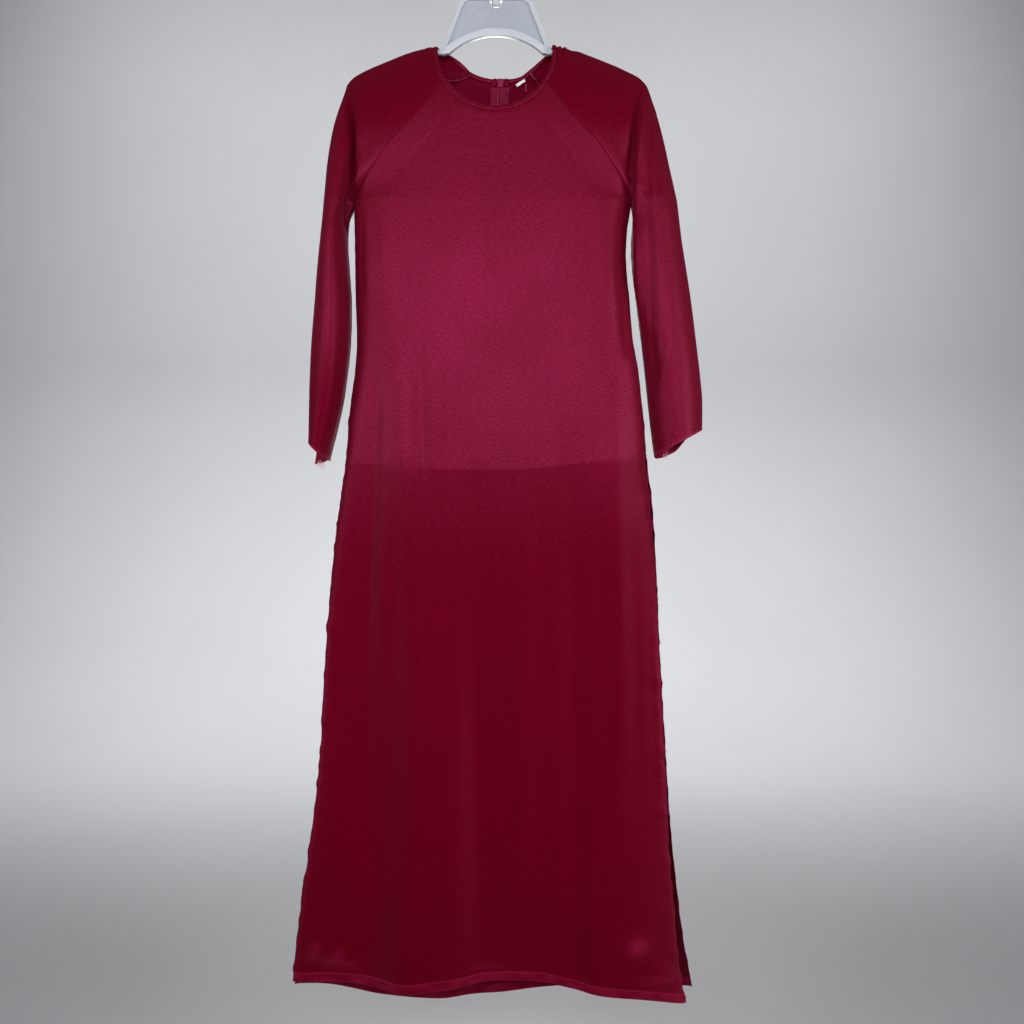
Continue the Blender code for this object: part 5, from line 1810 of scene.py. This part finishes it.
def make_pull(hinge):
    """The pull tab: a drop-shaped plate whose top bar runs through the bridge."""
    _, thick, length = PULL
    slot_width, slot_foot = PULL_SLOT
    middle = hinge + Vector((0.0, 0.0, PULL_BAR - length / 2))
    pull = block("pull", middle, PULL)
    choose(pull, "FACE", lambda place, normal: normal.z < -0.5)
    bpy.ops.transform.resize(value=(PULL_FOOT_SHARE, 1.0, 1.0), center_override=middle * MM)
    leave()
    low = hinge.z + PULL_BAR - length
    top_radius, foot_radius = PULL_CORNERS
    round_outline(pull, -math.inf, low + 1.0, foot_radius, 8)
    round_outline(pull, hinge.z, math.inf, top_radius, 3)
    slot_middle = hinge + Vector((0.0, 0.0, -(slot_foot + PULL_BAR) / 2))
    slot = block("slot", slot_middle, (slot_width, 4 * thick, slot_foot - PULL_BAR))
    combine(pull, slot, "DIFFERENCE")
    choose(pull, "FACE", lambda place, normal: abs(normal.y) > 0.9)
    bpy.ops.mesh.inset(thickness=PULL_DISH[0] * MM, use_even_offset=True)
    bpy.ops.mesh.extrude_region_shrink_fatten(TRANSFORM_OT_shrink_fatten={"value": -PULL_DISH[1] * MM})
    leave()
    soften(pull, 0.12, 2)
    return pull


def inner_depth(panel, x, z):
    """Depth of a back piece's inside at a place seen from the front."""
    flat = panel.points.reshape(-1, 3)
    near = flat[:, 1] > 5.0
    gap = np.hypot(flat[near, 0] - x, flat[near, 2] - z)
    return float(flat[near, 1][int(np.argmin(gap))])


def make_label(backs):
    """A blank satin label, a folded loop of tape sewn under the back neckline."""
    (x0, z0), (x1, z1) = LABEL_ENDS
    panel = backs["back_right"][1]
    run = math.hypot(x1 - x0, z1 - z0)
    up = np.array((-(z1 - z0) / run, (x1 - x0) / run))

    def point(u, v):
        x = mix(x0, x1, u) + up[0] * LABEL_HEIGHT * v
        z = mix(z0, z1, u) + up[1] * LABEL_HEIGHT * v
        bulge = 0.8 * (1.0 - v) + 0.35 * math.sin(math.pi * u) * (1.0 - v)
        return x, inner_depth(panel, x, z) - CLOTH / 2 - 1.3 - bulge, z

    return patch("label_loop", point, 9, 5, (run, LABEL_HEIGHT), LABEL_THICK)


def make_flaps(backs, sleeves):
    """Raglan seam allowances that curl away from the inside of the back neck, with overlocked edges."""
    made = []
    for name, sleeve, back, width, edge in FLAPS:
        side = math.copysign(1.0, edge[0][0])
        free = evened(resampled(edge, FLAP_COLUMNS), 4)
        along = unit(np.gradient(free[:, :2], axis=0))
        away = np.stack([side * along[:, 1], -side * along[:, 0]], axis=-1)
        away *= np.sign(away[:, 1])[:, None]
        reach = width * (0.35 + 0.65 * ease(np.linspace(0.0, 3.0, FLAP_COLUMNS)))
        rows = np.linspace(0.0, 1.0, FLAP_ROWS)
        grid = np.zeros((FLAP_ROWS, FLAP_COLUMNS, 3))
        for r, v in enumerate(rows):
            place = free[:, :2] + away * (reach * v)[:, None]
            for c, (x, z) in enumerate(place):
                depth = min(inner_depth(panel, x, z) for panel in (sleeves[sleeve][1], backs[back][1]))
                lift = free[c, 2] * (1.0 - v) ** 1.3 + 0.4 * math.sin(c * 0.55) * (1.0 - v)
                grid[r, c] = (x, depth - CLOTH / 2 - 0.9 - lift, z)
        if side < 0.0:
            grid = grid[:, ::-1]
        uv = np.stack(np.meshgrid(np.arange(FLAP_COLUMNS) * 1.4, rows * width), axis=-1)
        flap = cloth_shell(name, grid, FLAP_THICK / 2, FLAP_THICK / 2, uv)
        overlock = []
        for share, sink in ((0.0, 0.3), (0.34, -0.25)):
            spots = [(point, np.array((0.0, -1.0, 0.0))) for point in mix(grid[0], grid[2], share)]
            overlock.append(stitch_row(spots, *OVERLOCK, 0.5, sink))
        made.append((flap, join_parts(name + "_overlock", overlock)))
    return made


def thread_tube(points, radius, sides=6):
    """Corners and faces of a fine loose thread through points, thinner at its tip."""
    line = evened(resampled(points, 4 * len(points)), 3)
    corners = []
    for i, place in enumerate(line):
        along = unit(line[min(i + 1, len(line) - 1)] - line[max(i - 1, 0)])
        aside = unit(np.cross(along, (0.0, 1.0, 0.01)))
        other = np.cross(along, aside)
        fine = radius * (1.0 - 0.45 * i / len(line))
        for k in range(sides):
            angle = 2.0 * math.pi * k / sides
            corners.append(place + (aside * math.cos(angle) + other * math.sin(angle)) * fine)
    return corners, tube_faces(len(line), sides)


def make_loose_threads():
    """Frayed threads at the cuffs' underarm seams, and a loose one at the label."""
    random = np.random.default_rng(91)
    parts = []
    for x, z, wide, count in FRAYS:
        for _ in range(count):
            at = np.array((x + random.uniform(-wide, wide), random.uniform(-3.0, 3.0),
                           z + random.uniform(-3.0, 2.0)))
            reach, lean = FRAY_LENGTH * random.uniform(0.5, 1.2), random.uniform(-0.5, 0.5)
            bend = random.uniform(-2.0, 2.0)
            route = [at,
                     at + (lean * 2.0, bend * 0.3, -reach * 0.4),
                     at + (lean * 4.0 + bend, bend * 0.5, -reach * 0.75),
                     at + (lean * 7.0, bend * 0.4, -reach)]
            parts.append(thread_tube(route, random.uniform(0.16, 0.3)))
    parts += [thread_tube(route, radius) for radius, route in LONE_THREADS]
    return join_parts("loose_threads", parts)


def make_frayed_end():
    """The left underarm allowance's ragged end, which hangs out of the cuff."""
    columns = 15
    tear = np.random.default_rng(92).uniform(-1.3, 1.3, columns)

    def point(u, v):
        ragged = (0.0, tear[round(u * (columns - 1))])
        foot = mix(*np.array(FRAYED_FOOT), u) + ragged
        x, z = mix(foot, mix(*np.array(FRAYED_TOP), u), v)
        return x, -1.5 + 1.6 * math.sin(3.0 * u + 1.5 * v), z

    return patch("frayed_end", point, columns, 6, FRAYED_SIZE, 0.6)


def make_binding_ends(top):
    """The binding's two ends, folded under beside the slider."""
    made = []
    for name, side in (("binding_end_left", -1), ("binding_end_right", 1)):

        def point(u, v, side=side):
            near = u if side < 0 else 1.0 - u
            x = top.x + side * (BINDING_END_PLACE - BINDING_END_SIZE[0] * near)
            swell = 0.9 * math.sin(math.pi * u) ** 0.7 * math.sin(math.pi * (0.15 + 0.75 * v))
            return x, top.y - BINDING_THICK / 2 - 0.8 - swell, top.z - 2.5 + 9.6 * v + 0.8 * near * v

        made.append(patch(name, point, 7, 9, BINDING_END_SIZE, 0.9))
    return made


def finish_piece(piece, node, material, body=GARMENT):
    """Give a piece its finish and its body, and hide the imported part that it stands for."""
    piece.data.materials.append(material)
    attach(piece, body)
    if node:
        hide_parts(node)


def frosted_finish():
    """Frosted clear plastic: bluish where thin, and whiter in the thick rim and arms, partly for the thicker
    plastic and partly as a painted highlight of the rounded rim.
    """
    plastic = Finish("frosted_plastic", FROST, 0.3)
    place = plastic.solid_place()
    depth = plastic.sum(plastic.coordinate(place, "Y"), 0.0, "ABSOLUTE")
    # Whiter in the rim and arms: thicker plastic, and a painted highlight of the rounded rim
    rim = plastic.range(depth, 0.0022, 0.0036, 0.0, 1.0)
    cloud = plastic.noise(place, 14.0, 2.0)
    plastic.set("Base Color", plastic.blend(rim, plastic.blend(cloud, *FROST_WEB), FROST_RIM_AND_HIGHLIGHT))
    plastic.set("Roughness", plastic.range(cloud, 0.3, 0.7, 0.3, 0.38))
    plastic.set("Subsurface Weight", 0.5)
    plastic.set("Subsurface Radius", (0.006, 0.006, 0.007))
    plastic.set("IOR", 1.45)
    plastic.bump(plastic.noise(place, 900.0, 2.0), 0.00002, 0.4)
    return plastic.material


def make_hard_pieces(backs):
    """Hanger, hook, zip coil, slider and pull."""
    plastic = frosted_finish()
    paint = plain_finish("crimson_enamel", ENAMEL, 0.5, 900.0, 0.00002, tint=SHEEN)
    nylon = plain_finish("crimson_coil", COIL_CRIMSON, 0.5, 1500.0, 0.00005, tint=SHEEN)
    finish_piece(make_hanger_plate(), "hanger_body", plastic)
    finish_piece(make_hook(), "hanger_hook", plastic)
    finish_piece(make_coil(backs), "zip_chain", nylon)
    top = Vector((upper_middle(1.0) + BACK_SLIDE, NECK_DEPTH, BACK_NECK))
    slider, hinge = make_slider(top)
    finish_piece(slider, "zip_slider", paint)
    finish_piece(make_pull(hinge), "zip_pull", paint, PULL_TAB)
    return top


def main():
    make_camera()
    make_room()
    make_garment()


main()
